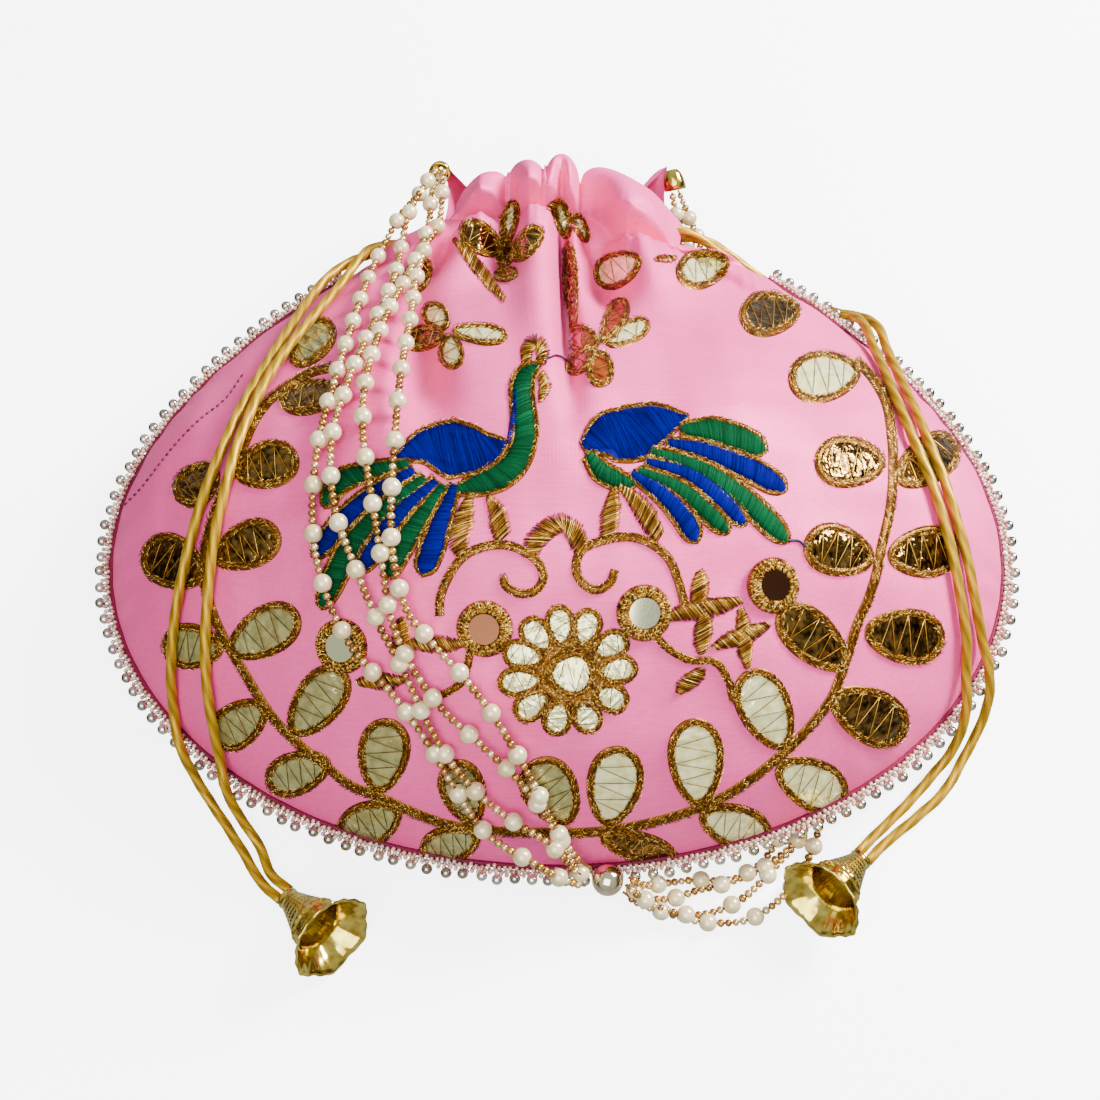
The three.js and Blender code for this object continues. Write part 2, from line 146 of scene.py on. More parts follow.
@dataclass
class MeshParts:
    """Vertices and faces gathered from many small pieces, in millimetres, with a tone and a UV per vertex."""

    vertices: list[Array] = field(default_factory=list)
    faces: list[Array] = field(default_factory=list)
    tones: list[Array] = field(default_factory=list)
    uvs: list[Array] = field(default_factory=list)
    count: int = 0

    def add(self, vertices: Array, faces: list[Array], tones: Floats = 0.5,
            uvs: Array | None = None) -> None:
        """Adds one batch: vertices (n, 3) and arrays of faces that have the same number of corners.

        Args:
            vertices: points, in any shape that ends in 3.
            faces: blocks of faces, each of one number of corners.
            tones: tone of all vertices, or of each.
            uvs: UV of each vertex.
        """
        vertices = vertices.reshape(-1, 3)
        self.vertices.append(vertices)
        self.faces.extend(block + self.count for block in faces)
        self.tones.append(np.broadcast_to(np.asarray(tones, float), (len(vertices),)))
        self.uvs.append(np.zeros((len(vertices), 2)) if uvs is None else uvs.reshape(-1, 2))
        self.count += len(vertices)

    def build(self, name: str, material: Material, slot: Slot,
              smooth: bool = True) -> Object:
        """Makes the object, rides it on the bag and gives it its finish.

        Args:
            name: the piece's name.
            material: its finish.
            slot: its record slot.
            smooth: whether it is shaded smooth.
        Returns:
            The piece.
        """
        mesh = bpy.data.meshes.new(name)
        vertices = np.concatenate(self.vertices) * MM
        sizes = np.concatenate([np.full(len(block), block.shape[1]) for block in self.faces])
        corners = np.concatenate([block.ravel() for block in self.faces]).astype(np.int32)
        mesh.vertices.add(len(vertices))
        mesh.vertices.foreach_set("co", vertices.astype(np.float32).ravel())
        mesh.loops.add(len(corners))
        mesh.loops.foreach_set("vertex_index", corners)
        mesh.polygons.add(len(sizes))
        starts = np.concatenate([[0], np.cumsum(sizes)[:-1]]).astype(np.int32)
        mesh.polygons.foreach_set("loop_start", starts)
        mesh.polygons.foreach_set("use_smooth", np.full(len(sizes), smooth))
        tone = mesh.attributes.new("tone", "FLOAT", "POINT")
        tone.data.foreach_set("value", np.concatenate(self.tones).astype(np.float32))
        layer = mesh.uv_layers.new(name="cloth")
        layer.data.foreach_set("uv", np.concatenate(self.uvs)[corners].astype(np.float32).ravel())
        mesh.update(calc_edges=True)
        mesh.validate()
        mesh.materials.append(material)
        return place(bpy.data.objects.new(name, mesh), slot)


def place(piece: Object, slot: Slot) -> Object:
    """Links a piece into the scene, riding on the bag, and logs its record slot.

    Args:
        piece: the new object.
        slot: its record slot.
    Returns:
        The same object.
    """
    bpy.context.scene.collection.objects.link(piece)
    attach(piece, BODY)
    LOG.info("%s made, slot %s", piece.name, slot.value)
    return piece


def lattice_faces(rows: int, columns: int, wrap: bool = False) -> Array:
    """Quads of a lattice of rows by columns vertices, closed round the columns where wrap is set.

    Args:
        rows: rows of vertices.
        columns: vertices in a row.
        wrap: whether the last column joins the first.
    Returns:
        The quads, (n, 4).
    """
    r = np.arange(rows - 1)[:, None]
    c = np.arange(columns if wrap else columns - 1)[None, :]
    d = (c + 1) % columns
    low, high = r * columns, (r + 1) * columns
    return np.stack([low + c, low + d, high + d, high + c], axis=-1).reshape(-1, 4)


def tubes(points: Array, normals: Array, radius: Floats,
          sides: int = THREAD_SIDES) -> Shell:
    """Many short closed tubes of the same number of points.

    Args:
        points: middle lines, (tubes, points, 3).
        normals: up direction at each point, the same shape.
        radius: radius at each point, broadcast to (tubes, points).
        sides: corners of the section.
    Returns:
        Vertices, and face arrays for MeshParts.add.
    """
    count, length, _ = points.shape
    along = unit(np.gradient(points, axis=1))
    across = unit(np.cross(along, normals))
    up = np.cross(across, along)
    radius = np.broadcast_to(np.asarray(radius, float), (count, length))[..., None, None]
    angle = np.pi / 2 + 2 * np.pi * np.arange(sides) / sides
    ring = np.cos(angle)[:, None] * across[:, :, None] + np.sin(angle)[:, None] * up[:, :, None]
    vertices = points[:, :, None] + radius * ring
    base = (np.arange(count) * length * sides)[:, None, None]
    quads = (lattice_faces(length, sides, wrap=True)[None] + base).reshape(-1, 4)[:, ::-1]
    start = np.arange(sides)[None] + base[:, 0]
    end = (length - 1) * sides + np.arange(sides)[None, ::-1] + base[:, 0]
    return vertices, [quads, start, end]


def round_bead(segments: int, rings: int) -> Shell:
    """A bead of radius one with a small hole along Z.

    Args:
        segments: corners round the hole.
        rings: rows from end to end.
    Returns:
        Vertices, and face arrays for MeshParts.add.
    """
    hole = 0.22
    lat = np.linspace(-np.pi / 2 + hole, np.pi / 2 - hole, rings)
    lon = 2 * np.pi * np.arange(segments) / segments
    profile = np.stack([np.cos(lat), np.sin(lat)], axis=1)
    profile = np.concatenate([[[profile[0, 0], 0.0]], profile, [[profile[-1, 0], 0.0]]])
    profile[0, 0] = profile[-1, 0] = math.sin(hole) * 0.9
    x = profile[:, :1] * np.cos(lon)
    y = profile[:, :1] * np.sin(lon)
    z = np.repeat(profile[:, 1:], segments, axis=1)
    return np.stack([x, y, z], axis=-1).reshape(-1, 3), [lattice_faces(len(profile), segments, wrap=True)]


def add_beads(parts: MeshParts, bead: Shell, centres: Array,
              axes: Array, radius: Floats, squash: float = 1.0, tones: Floats = 0.5) -> None:
    """Adds copies of a bead, each threaded along its own axis.

    Args:
        parts: where the beads go.
        bead: a bead of radius one, from round_bead.
        centres: middles of the beads, (n, 3).
        axes: directions of their holes, (n, 3).
        radius: radius of all beads, or of each.
        squash: length along the hole over the width.
        tones: tone of all beads, or of each.
    """
    template, faces = bead
    count = len(centres)
    axes = unit(axes)
    helper = np.where(np.abs(axes[:, 2:]) < 0.9, [[0.0, 0.0, 1.0]], [[1.0, 0.0, 0.0]])
    side = unit(np.cross(helper, axes))
    up = np.cross(axes, side)
    basis = np.stack([side, up, axes * squash], axis=1)
    scale = np.broadcast_to(np.asarray(radius, float), (count,))[:, None, None]
    vertices = centres[:, None] + scale * np.einsum("vk,nkj->nvj", template, basis)
    offset = (np.arange(count) * len(template))[:, None, None]
    blocks = [(block[None] + offset).reshape(-1, block.shape[1]) for block in faces]
    parts.add(vertices, blocks, np.repeat(np.broadcast_to(tones, (count,)), len(template)))


def revolve(profile: Array, seat: Array | tuple, axis: Array | tuple, segments: int,
            shape: Callable | None = None) -> Shell:
    """A closed ring profile of (radius, height) turned about an axis.

    Args:
        profile: ring of points, the last joined to the first.
        seat: where height 0 lies.
        axis: direction of height.
        segments: corners round the axis.
        shape: optional function of (radius, height, angle) that returns both, for petals and flutes.
    Returns:
        Vertices, and face arrays for MeshParts.add.
    """
    axis = unit(np.asarray(axis, float))
    side = unit(np.cross(axis, [0.0, 0.0, 1.0]))
    up = np.cross(axis, side)
    angle = 2 * np.pi * np.arange(segments) / segments
    radius = np.repeat(profile[:, :1], segments, axis=1)
    height = np.repeat(profile[:, 1:], segments, axis=1)
    if shape:
        radius, height = shape(radius, height, np.broadcast_to(angle, radius.shape))
    ring = np.cos(angle)[:, None] * side + np.sin(angle)[:, None] * up
    vertices = np.asarray(seat) + radius[..., None] * ring + height[..., None] * axis
    quads = lattice_faces(len(profile) + 1, segments, wrap=True) % (len(profile) * segments)
    return vertices, [quads[:, ::-1]]


# Materials

def colour(code: str) -> tuple[float, ...]:
    """Linear colour of an sRGB hex code.

    Args:
        code: six hex digits.
    Returns:
        Red, green, blue and alpha.
    """
    parts = [int(code[i:i + 2], 16) / 255 for i in (0, 2, 4)]
    linear = [c / 12.92 if c <= 0.04045 else ((c + 0.055) / 1.055) ** 2.4 for c in parts]
    return (*linear, 1.0)


def add_node(tree: NodeTree, kind: str, settings: dict | None = None,
             links: dict | None = None) -> Node:
    """Adds a node, sets its sockets or properties by name, and links sockets into it.

    Args:
        tree: the material's nodes.
        kind: the node's type name.
        settings: values by socket or property.
        links: sockets to link in, by input.
    Returns:
        The node.
    """
    made = tree.nodes.new(kind)
    for key, value in (settings or {}).items():
        if isinstance(key, int) or key in made.inputs:
            made.inputs[key].default_value = value
        else:
            setattr(made, key, value)
    for key, socket in (links or {}).items():
        tree.links.new(socket, made.inputs[key])
    return made


def new_material(name: str, settings: dict) -> tuple[Material, NodeTree, Node]:
    """A material with one shader, as the material, its tree and the shader.

    Args:
        name: the material's name.
        settings: values of the shader's sockets.
    Returns:
        The material, its tree and the shader.
    """
    material = bpy.data.materials.new(name)
    material.use_nodes = True
    tree = material.node_tree
    shader = tree.nodes["Principled BSDF"]
    for key, value in settings.items():
        shader.inputs[key].default_value = value
    return material, tree, shader


def tone_ramp(tree: NodeTree, fac: NodeSocket, stops: list[tuple[float, str]], into: NodeSocket) -> None:
    """A colour ramp over a value, from hex codes.

    Args:
        tree: the material's nodes.
        fac: socket of the value.
        stops: positions and hex codes.
        into: socket that takes the colour.
    """
    ramp = add_node(tree, "ShaderNodeValToRGB", links={"Fac": fac})
    elements = ramp.color_ramp.elements
    while len(elements) < len(stops):
        elements.new(0.5)
    for element, (position, code) in zip(elements, stops):
        element.position = position
        element.color = colour(code)
    tree.links.new(ramp.outputs["Color"], into)


def real_position(tree: NodeTree, per_mm: Point) -> NodeSocket:
    """Position on the bag, scaled so that one unit is the given pattern size in millimetres.

    Args:
        tree: the material's nodes.
        per_mm: pattern size along X, Y and Z.
    Returns:
        Socket of the position.
    """
    place_node = add_node(tree, "ShaderNodeTexCoord")
    scale = tuple(1.0 / (size * MM) for size in per_mm)
    mapped = add_node(tree, "ShaderNodeMapping", {"Scale": scale}, {"Vector": place_node.outputs["Object"]})
    return mapped.outputs["Vector"]


def add_bump(tree: NodeTree, shader: Node, height: NodeSocket,
             distance_mm: float, strength: float = 1.0) -> None:
    """Bump of a real depth on a shader.

    Args:
        tree: the material's nodes.
        shader: the shader.
        height: socket of the relief.
        distance_mm: depth of the relief.
        strength: share of it that shows.
    """
    settings = {"Distance": distance_mm * MM, "Strength": strength}
    bump = add_node(tree, "ShaderNodeBump", settings, {"Height": height})
    tree.links.new(bump.outputs["Normal"], shader.inputs["Normal"])


@dataclass(frozen=True)
class SatinCloth:
    """Woven satin: long floats throw a soft light back in the cloth's own colour, with faint slubs."""

    name: str
    light: str
    dark: str
    roughness: float = 0.52
    lustre: float = 0.16
    slub_mm: Point = (9.0, 0.7, 0.7)
    cloud_mm: float = 34.0
    # Real threads lie about 0.1 mm apart: the weave is drawn coarser, so that it shows
    weave_mm: float = 0.55

    def build(self) -> Material:
        """Makes the cloth's material, with slubs, clouded colour and weave.

        Returns:
            The material.
        """
        settings = {"Roughness": self.roughness, "Metallic": self.lustre, "Specular IOR Level": 0.2}
        material, tree, shader = new_material(self.name, settings)
        slub = add_node(tree, "ShaderNodeTexNoise", {"Scale": 1.0, "Detail": 4.0},
                        {"Vector": real_position(tree, self.slub_mm)})
        cloud = add_node(tree, "ShaderNodeTexNoise", {"Scale": 1.0, "Detail": 2.0},
                         {"Vector": real_position(tree, (self.cloud_mm,) * 3)})
        mixed = add_node(tree, "ShaderNodeMath", {"operation": "ADD"},
                         {0: slub.outputs["Fac"], 1: cloud.outputs["Fac"]})
        half = add_node(tree, "ShaderNodeMath", {"operation": "MULTIPLY", 1: 0.5}, {0: mixed.outputs[0]})
        stops = [(0.3, self.dark), (0.7, self.light)]
        tone_ramp(tree, half.outputs[0], stops, shader.inputs["Base Color"])
        weave = add_node(tree, "ShaderNodeTexWave", {"Scale": 0.5, "Distortion": 1.2, "Detail": 1.0},
                         {"Vector": real_position(tree, (self.weave_mm,) * 3)})
        relief = add_node(tree, "ShaderNodeMath", {"operation": "ADD"},
                          {0: weave.outputs["Fac"], 1: slub.outputs["Fac"]})
        add_bump(tree, shader, relief.outputs[0], 0.05, 0.5)
        return material


@dataclass(frozen=True)
class ToneFinish:
    """A finish whose colour runs over each stitch's or bead's own tone, so no two look alike."""

    name: str
    stops: tuple[tuple[float, str], ...]
    metallic: float
    roughness: float
    grain_mm: float = 0.35
    grain_depth_mm: float = 0.05
    coat: float = 0.0
    specular: float = 0.4

    def build(self) -> Material:
        """Makes the material, whose colour follows the tone attribute.

        Returns:
            The material.
        """
        settings = {"Metallic": self.metallic, "Roughness": self.roughness, "Coat Weight": self.coat,
                    "Coat Roughness": 0.08, "Specular IOR Level": self.specular}
        material, tree, shader = new_material(self.name, settings)
        tone = add_node(tree, "ShaderNodeAttribute", {"attribute_name": "tone"})
        grain = add_node(tree, "ShaderNodeTexNoise", {"Scale": 1.0, "Detail": 2.0},
                         {"Vector": real_position(tree, (self.grain_mm,) * 3)})
        spread = add_node(tree, "ShaderNodeMath", {"operation": "MULTIPLY_ADD", 1: 0.35, 2: -0.175},
                          {0: grain.outputs["Fac"]})
        value = add_node(tree, "ShaderNodeMath", {"operation": "ADD", "use_clamp": True},
                         {0: tone.outputs["Fac"], 1: spread.outputs[0]})
        tone_ramp(tree, value.outputs[0], list(self.stops), shader.inputs["Base Color"])
        if self.grain_depth_mm:
            add_bump(tree, shader, grain.outputs["Fac"], self.grain_depth_mm, 0.6)
        return material


@dataclass(frozen=True)
class TwistedCord:
    """Rayon satin cord: bright filaments that wind round the cord, with painted shade in the grooves between
    plies, carried in the tone.
    """

    name: str
    light: str
    dark: str
    # Filaments to the millimetre: the real ones are finer, and are drawn coarser so that they show
    filaments: float = 2.6
    filament_stretch: float = 0.06

    def build(self) -> Material:
        """Makes the cord's material, with filaments along the lay.

        Returns:
            The material.
        """
        settings = {"Roughness": 0.4, "Metallic": 0.45, "Specular IOR Level": 0.25}
        material, tree, shader = new_material(self.name, settings)
        uv = add_node(tree, "ShaderNodeUVMap", {"uv_map": "cloth"})
        turned = add_node(tree, "ShaderNodeMapping", {"Scale": (1.0, self.filament_stretch, 1.0)},
                          {"Vector": uv.outputs["UV"]})
        strands = add_node(tree, "ShaderNodeTexNoise", {"Scale": self.filaments, "Detail": 3.0},
                           {"Vector": turned.outputs["Vector"]})
        tone = add_node(tree, "ShaderNodeAttribute", {"attribute_name": "tone"})
        mixed = add_node(tree, "ShaderNodeMath", {"operation": "MULTIPLY_ADD", 1: 0.6},
                         {0: strands.outputs["Fac"], 2: tone.outputs["Fac"]})
        stops = [(0.35, self.dark), (1.0, self.light)]
        tone_ramp(tree, mixed.outputs[0], stops, shader.inputs["Base Color"])
        add_bump(tree, shader, strands.outputs["Fac"], 0.12, 0.8)
        return material


@dataclass(frozen=True)
class PlatedMetal:
    """Thin bright plating over pressed metal: sharp reflections, a little uneven, its colour darker where the
    crinkle relief is low.
    """

    name: str
    light: str
    dark: str
    roughness: float
    crinkle_mm: float
    crinkle_depth_mm: float
    metallic: float = 1.0

    def build(self) -> Material:
        """Makes the metal's material, with a crinkle in colour and relief.

        Returns:
            The material.
        """
        settings = {"Metallic": self.metallic, "Roughness": self.roughness}
        material, tree, shader = new_material(self.name, settings)
        crinkle = add_node(tree, "ShaderNodeTexNoise", {"Scale": 1.0, "Detail": 1.5},
                           {"Vector": real_position(tree, (self.crinkle_mm,) * 3)})
        stops = [(0.3, self.dark), (0.65, self.light)]
        tone_ramp(tree, crinkle.outputs["Fac"], stops, shader.inputs["Base Color"])
        add_bump(tree, shader, crinkle.outputs["Fac"], self.crinkle_depth_mm)
        return material


class Finishes:
    """All finishes of the bag, made once."""

    def __init__(self) -> None:
        """Makes every material."""
        # Woven satin, plain lining and rolled piping: soft light in the cloth's own colour
        self.satin = SatinCloth("pink_satin_woven", "F95BA0", "E4498D").build()
        self.lining = SatinCloth("pink_lining_plain_weave", "C97BA0", "B06688", 0.7, 0.0).build()
        # Piping: dark crimson, partly the rolled seam's own colour and partly painted shade along the seam
        self.piping = SatinCloth("rose_piping_partly_painted_shade", "7A1238", "520A26", 0.5, 0.1).build()
        # Twisted rayon: bright filaments, with painted shade in the grooves
        self.cord = TwistedCord("gold_rayon_cord_twisted", "D8A814", "4A2E00").build()
        # Zari, metal strip wound on thread: each stitch catches the light on its own
        gold_thread = ((0.0, "2A1604"), (0.35, "80500F"), (0.7, "C48C24"), (1.0, "FFE07A"))
        self.zari = ToneFinish("gold_zari_thread_couched", gold_thread, 0.75, 0.32, 0.5, 0.12).build()
        pale_thread = ((0.0, "8A6424"), (1.0, "F6DFA0"))
        self.pale_zari = ToneFinish("gold_zari_thread_bright", pale_thread, 0.7, 0.36, 0.5, 0.12).build()
        # Silk floss laid side by side: deep colour with little gloss
        blue = ((0.0, "000040"), (1.0, "01018A"))
        self.blue_silk = ToneFinish("blue_silk_floss_satin_stitched", blue, 0.0, 0.55, 0.4, 0.03,
                                    specular=0.04).build()
        green = ((0.0, "043018"), (1.0, "0E5B34"))
        self.green_silk = ToneFinish("green_silk_floss_satin_stitched", green, 0.0, 0.55, 0.4, 0.03,
                                     specular=0.04).build()
        # Spun sewing thread: matt and dark
        navy = ((0.0, "080A24"), (1.0, "14183C"))
        self.navy_thread = ToneFinish("navy_sewing_thread", navy, 0.0, 0.6).build()
        maroon = ((0.0, "3E0A24"), (1.0, "6E1E48"))
        self.maroon_thread = ToneFinish("maroon_sewing_thread", maroon, 0.0, 0.6).build()
        # Thin crinkled foil pressed under threads, in four copies whose colours are painted reflections:
        # bright, shaded, dark, and copper-pink from the folds
        self.foil_painted_bright_reflection = PlatedMetal("gold_foil_facing_light", "FBF8BE", "DCD68C",
                                     0.14, 2.6, 0.3, 0.42).build()
        self.foil_painted_shaded_reflection = PlatedMetal("gold_foil_facing_shade", "AAA56A", "88824C",
                                      0.14, 2.6, 0.3, 0.42).build()
        self.foil_painted_dark_reflection = PlatedMetal("gold_foil_facing_dark", "96743A", "281808", 0.11, 2.2, 0.6).build()
        self.foil_painted_pink_reflection = PlatedMetal("gold_foil_facing_folds", "B4541A", "6A2A06",
                                       0.2, 2.6, 0.3, 0.6).build()
        # Cut mirror glass: flat and sharp; its colour is a painted reflection, pale or dark
        self.mirror_painted_bright_reflection = PlatedMetal("mirror_glass_facing_light", "F0F2C6", "DEE2AE",
                                       0.05, 30.0, 0.0).build()
        self.mirror_painted_dark_reflection = PlatedMetal("mirror_glass_facing_dark", "5A3826", "472A1B",
                                       0.08, 30.0, 0.0).build()
        # Plated brass: bright, and darker gold where it reflects itself
        self.champagne = PlatedMetal("champagne_plated_ball", "F2E8CE", "CFC09A", 0.07, 3.0, 0.02).build()
        self.gold = PlatedMetal("pale_gold_plated_brass", "E8D468", "B09232", 0.13, 3.0, 0.04).build()
        # Lacquered pearls, foil-lined glass, plated balls and clear rose glass: small round highlights
        pearl = ((0.0, "CDB684"), (1.0, "EAD8AC"))
        self.pearl = ToneFinish("imitation_pearl_lacquered", pearl, 0.25, 0.26, 2.0, 0.0, 0.35).build()
        seed = ((0.0, "8A5A16"), (0.6, "C89A48"), (1.0, "F4DEA4"))
        self.seed = ToneFinish("gold_lined_glass_seed", seed, 0.8, 0.16, 1.0, 0.0, 0.8).build()
        silver = ((0.0, "8E8478"), (1.0, "ECE6DA"))
        self.silver = ToneFinish("silver_plated_ball", silver, 1.0, 0.14, 2.0, 0.0).build()
        rose = ((0.0, "B07A62"), (1.0, "EBCDBC"))
        self.rose_seed = ToneFinish("clear_rose_glass_seed", rose, 0.25, 0.15, 1.0, 0.0, 0.8).build()


# Form of the bag

@dataclass(frozen=True)
class Fold:
    """A ridge (height above 0) or crease (below 0) in the front cloth, from the neck down the bag."""

    top: tuple[float, float]
    foot: tuple[float, float]
    top_width: float
    foot_width: float
    height: float
    right_lean: float = 1.0
    fades_in: bool = False

    def offset(self, x: Array, y: Array) -> Array:
        """Height of the fold at points of the cloth.

        Args:
            x, y: plan position.
        Returns:
            Height to add to the smooth cloth.
        """
        down = (self.top[1] - y) / (self.top[1] - self.foot[1])
        t = np.clip(down, 0.0, 1.0)
        centre = self.top[0] + (self.foot[0] - self.top[0]) * t
        width = self.top_width + (self.foot_width - self.top_width) * t
        width = width * np.where(x > centre, self.right_lean, 1.0)
        strength = 1 - smoothstep(t, 0.35, 1.0)
        if self.fades_in:
            strength = strength * smoothstep(down, -0.3, 0.25)
        return self.height * strength * np.exp(-(((x - centre) / width) ** 2))


@dataclass(frozen=True)
class FrillLobe:
    """One puffed lobe of the frill, between two deep creases."""

    centre: float
    half: float
    height: float

    def pillow(self, x: Array) -> Array:
        """Height of the lobe across the frill."""
        return self.height * np.sqrt(np.clip(1 - ((x - self.centre) / self.half) ** 2, 0.0, 1.0))


FRONT_FOLDS = (
    Fold((1.5, 122), (4.0, 8), 1.7, 3.4, -14.0),
    Fold((-6.0, 122), (-4.0, 20), 6.0, 9.0, 7.5, 0.75),
    Fold((11.0, 118), (17.0, 52), 4.5, 8.0, -12.5),
    Fold((20.5, 118), (34.0, 60), 4.5, 8.5, 7.5, 1.8),
    Fold((-14.5, 121), (-19.0, 76), 2.6, 6.0, -9.0),
    Fold((-23.0, 120), (-34.0, 70), 4.5, 9.0, 4.5),
    Fold((-30.5, 119), (-46.0, 72), 2.2, 6.0, -6.5),
    Fold((40.0, 113), (66.0, 74), 3.0, 7.0, -4.5),
    Fold((-38.0, 114), (-62.0, 78), 3.0, 7.0, 2.5),
    Fold((-42.0, 70), (-29.0, 0), 6.5, 11.0, -9.5, 1.0, True),
    Fold((44.0, 60), (48.0, 0), 10.0, 16.0, 2.5, 1.0, True),
)
FRILL_LOBES = (
    FrillLobe(-24.0, 9.2, 9.5),
    FrillLobe(-9.4, 6.2, 10.5),
    FrillLobe(1.6, 5.6, 12.0),
    FrillLobe(20.0, 12.6, 12.0),
)
NECK_GROOVE_RISE = 1.0
NECK_GROOVE_DEPTH = 8.0
NECK_GROOVE_WIDTH = 3.4
NECK_LEFT_Y = 117.5
NECK_RIGHT_Y = 106.5
FRILL_DROP = 13.5
FRILL_RIGHT_SPREAD = 9.0
FRILL_RIGHT_DROP = 11.0
FRILL_LEFT_DROP = 3.0
FRILL_LEAN = 3.0
CASING_MID_Y = 115.7
CASING_REACH_Y = 7.5
CASING_CLOTH_Z = 28.0
CASING_LINING_Z = 22.8
CORNER_LIFT = 8.5
CORNER_SPREAD = 3.6


def over_casing(y: Floats) -> Array:
    """1 over the cords in the casing, 0 a little away from them."""
    return np.exp(-(((y - CASING_MID_Y) / CASING_REACH_Y) ** 6))


def drawn_neck(x: Floats) -> Array:
    """How far up the cloth the drawn cord pinches it, lower where the right lobe flops over."""
    return NECK_LEFT_Y - (NECK_LEFT_Y - NECK_RIGHT_Y) * smoothstep(x, 7.0, 24.0)


@dataclass(frozen=True)
class BagForm:
    """The bag's outline and fullness, with the same driving sizes as the CAD model."""

    half_width_max: float = 129.0
    widest_y: float = 10.0
    base_depth: float = 90.0
    neck_y: float = 118.0
    neck_half_width: float = 40.0
    frill_top_y: float = 141.0
    frill_half_width: float = 32.0
    seam_low: float = 9.0
    seam_rise: float = 12.0
    front_fullness: float = 60.0
    back_fullness: float = 20.0
    neck_fullness: float = 15.0
    frill_flare: float = 3.0
    front_rounding: float = 0.7
    back_rounding: float = 0.9
    slit_half_height: float = 5.0
    gathers: int = 7
    gather_depth: float = 1.3
    lining_gap: float = 4.6
    casing_room: float = 8.6
    casing_side_room: float = 17.0
    lining_floor: float = 2.4

    def frill_share(self, y: Floats) -> Array:
        """0 at the gathered neck, 1 at the frill's top."""
        return np.clip((y - self.neck_y) / (self.frill_top_y - self.neck_y), 0.0, 1.0)

    def half_width(self, y: Floats, inset: float = 0.0) -> Array:
        """Half the width of the bag, or of a lining set inside it.

        Args:
            y: place along the bag.
            inset: how far inside the panel.
        Returns:
            Half the width.
        """
        drop = np.clip((self.widest_y - y) / (self.base_depth - inset), 0.0, 1.0)
        low = (self.half_width_max - inset) * np.sqrt(1 - drop**2)
        rise = np.clip((y - self.widest_y) / (self.neck_y - self.widest_y), 0.0, 1.0)
        high = self.neck_half_width + (self.half_width_max - self.neck_half_width) * (1 - rise**2) - inset
        flare = self.neck_half_width - self.frill_half_width
        top = self.frill_half_width + flare * (1 - self.frill_share(y)) ** 3 - inset
        return np.where(y < self.widest_y, low, np.where(y < self.neck_y, high, top))

    def seam_height(self, y: Floats) -> Array:
        """Height of the side and base seam above the table."""
        base = self.widest_y - self.base_depth
        return self.seam_low + self.seam_rise * np.clip((y - base) / (self.neck_y - base), 0.0, 1.0) ** 0.8

    def fullness_along(self, y: Floats, crown: float) -> Array:
        """Share of the crown's fullness that is left towards the neck.

        Args:
            y: place along the bag.
            crown: fullness at its widest.
        Returns:
            The share.
        """
        t = np.clip((y - self.widest_y) / (self.neck_y - self.widest_y), 0.0, 1.0)
        neck = self.neck_fullness / crown
        return 1 - (1 - neck) * t * t * (3 - 2 * t) + self.frill_flare / crown * self.frill_share(y)

    def shares(self, x: Floats, y: Floats, inset: float = 0.0) -> tuple[Array, Array]:
        """Roundness shares across and along the bag.

        Args:
            x, y: plan position.
            inset: how far inside the panel.
        Returns:
            Both, 1 in the middle and 0 at the seam.
        """
        half = np.maximum(self.half_width(y, inset), 1e-6)
        across = np.clip(1 - (x / half) ** 2, 0.0, 1.0)
        along = np.where(y < self.widest_y, (half / (self.half_width_max - inset)) ** 2, 1.0)
        return across, along

    def slit(self, y: Floats) -> Array:
        """Half the gap between front and back at the side, which opens at the casing."""
        return 0.15 + self.slit_half_height * smoothstep(y, self.neck_y - 13, self.neck_y - 7)

    def front_smooth(self, x: Floats, y: Floats) -> Array:
        """Front height without its folds.

        Args:
            x, y: plan position.
        Returns:
            Height above the table.
        """
        across, along = self.shares(x, y)
        rise = self.front_fullness * self.fullness_along(y, self.front_fullness)
        dome = rise * (across * along) ** self.front_rounding
        return self.seam_height(y) + dome + self.slit(y) * (1 - across)

    def front_cad(self, x: Floats, y: Floats) -> Array:
        """Front height with the CAD model's even gathers, which the cords were laid on.

        Args:
            x, y: plan position.
        Returns:
            Height above the table.
        """
        across, _ = self.shares(x, y)
        reach = smoothstep(y, self.neck_y - 55, self.neck_y)
        wave = np.cos(np.pi * self.gathers * x / self.half_width(np.maximum(y, self.widest_y)))
        return self.front_smooth(x, y) + self.gather_depth * reach * wave * across

    def front_slopes(self, x: Floats, y: Floats, step: float = 1.0) -> tuple[Array, Array]:
        """Slopes of the CAD model's front along X and Y, over a step to each side."""
        slope_x = (self.front_cad(x + step, y) - self.front_cad(x - step, y)) / (2 * step)
        return slope_x, (self.front_cad(x, y + step) - self.front_cad(x, y - step)) / (2 * step)

    def rest_height(self, x: Floats, y: Floats, lift: float) -> Array:
        """Height of the middle of a cord that rests on the front.

        Args:
            x, y: plan position.
            lift: distance of the cord's middle from the cloth.
        Returns:
            Height above the table.
        """
        slope_x, slope_y = self.front_slopes(x, y)
        upright = 1 / np.sqrt(1 + slope_x**2 + slope_y**2)
        return self.front_cad(x, y) + lift / np.maximum(upright, 0.35)

    def back_smooth(self, x: Floats, y: Floats) -> Array:
        """Back height: flat on the table wherever its fullness would take it lower.

        Args:
            x, y: plan position.
        Returns:
            Height above the table.
        """
        across, along = self.shares(x, y)
        fall = self.back_fullness * self.fullness_along(y, self.back_fullness)
        sunk = self.seam_height(y) - fall * (across * along) ** self.back_rounding
        return sunk - self.slit(y) * (1 - across)

    def lining_room(self, y: Floats) -> Array:
        """Room between panel and lining, wider at the casing."""
        share = smoothstep(y, self.neck_y - 48, self.neck_y - 6)
        return self.lining_gap + (self.casing_room - self.lining_gap) * share

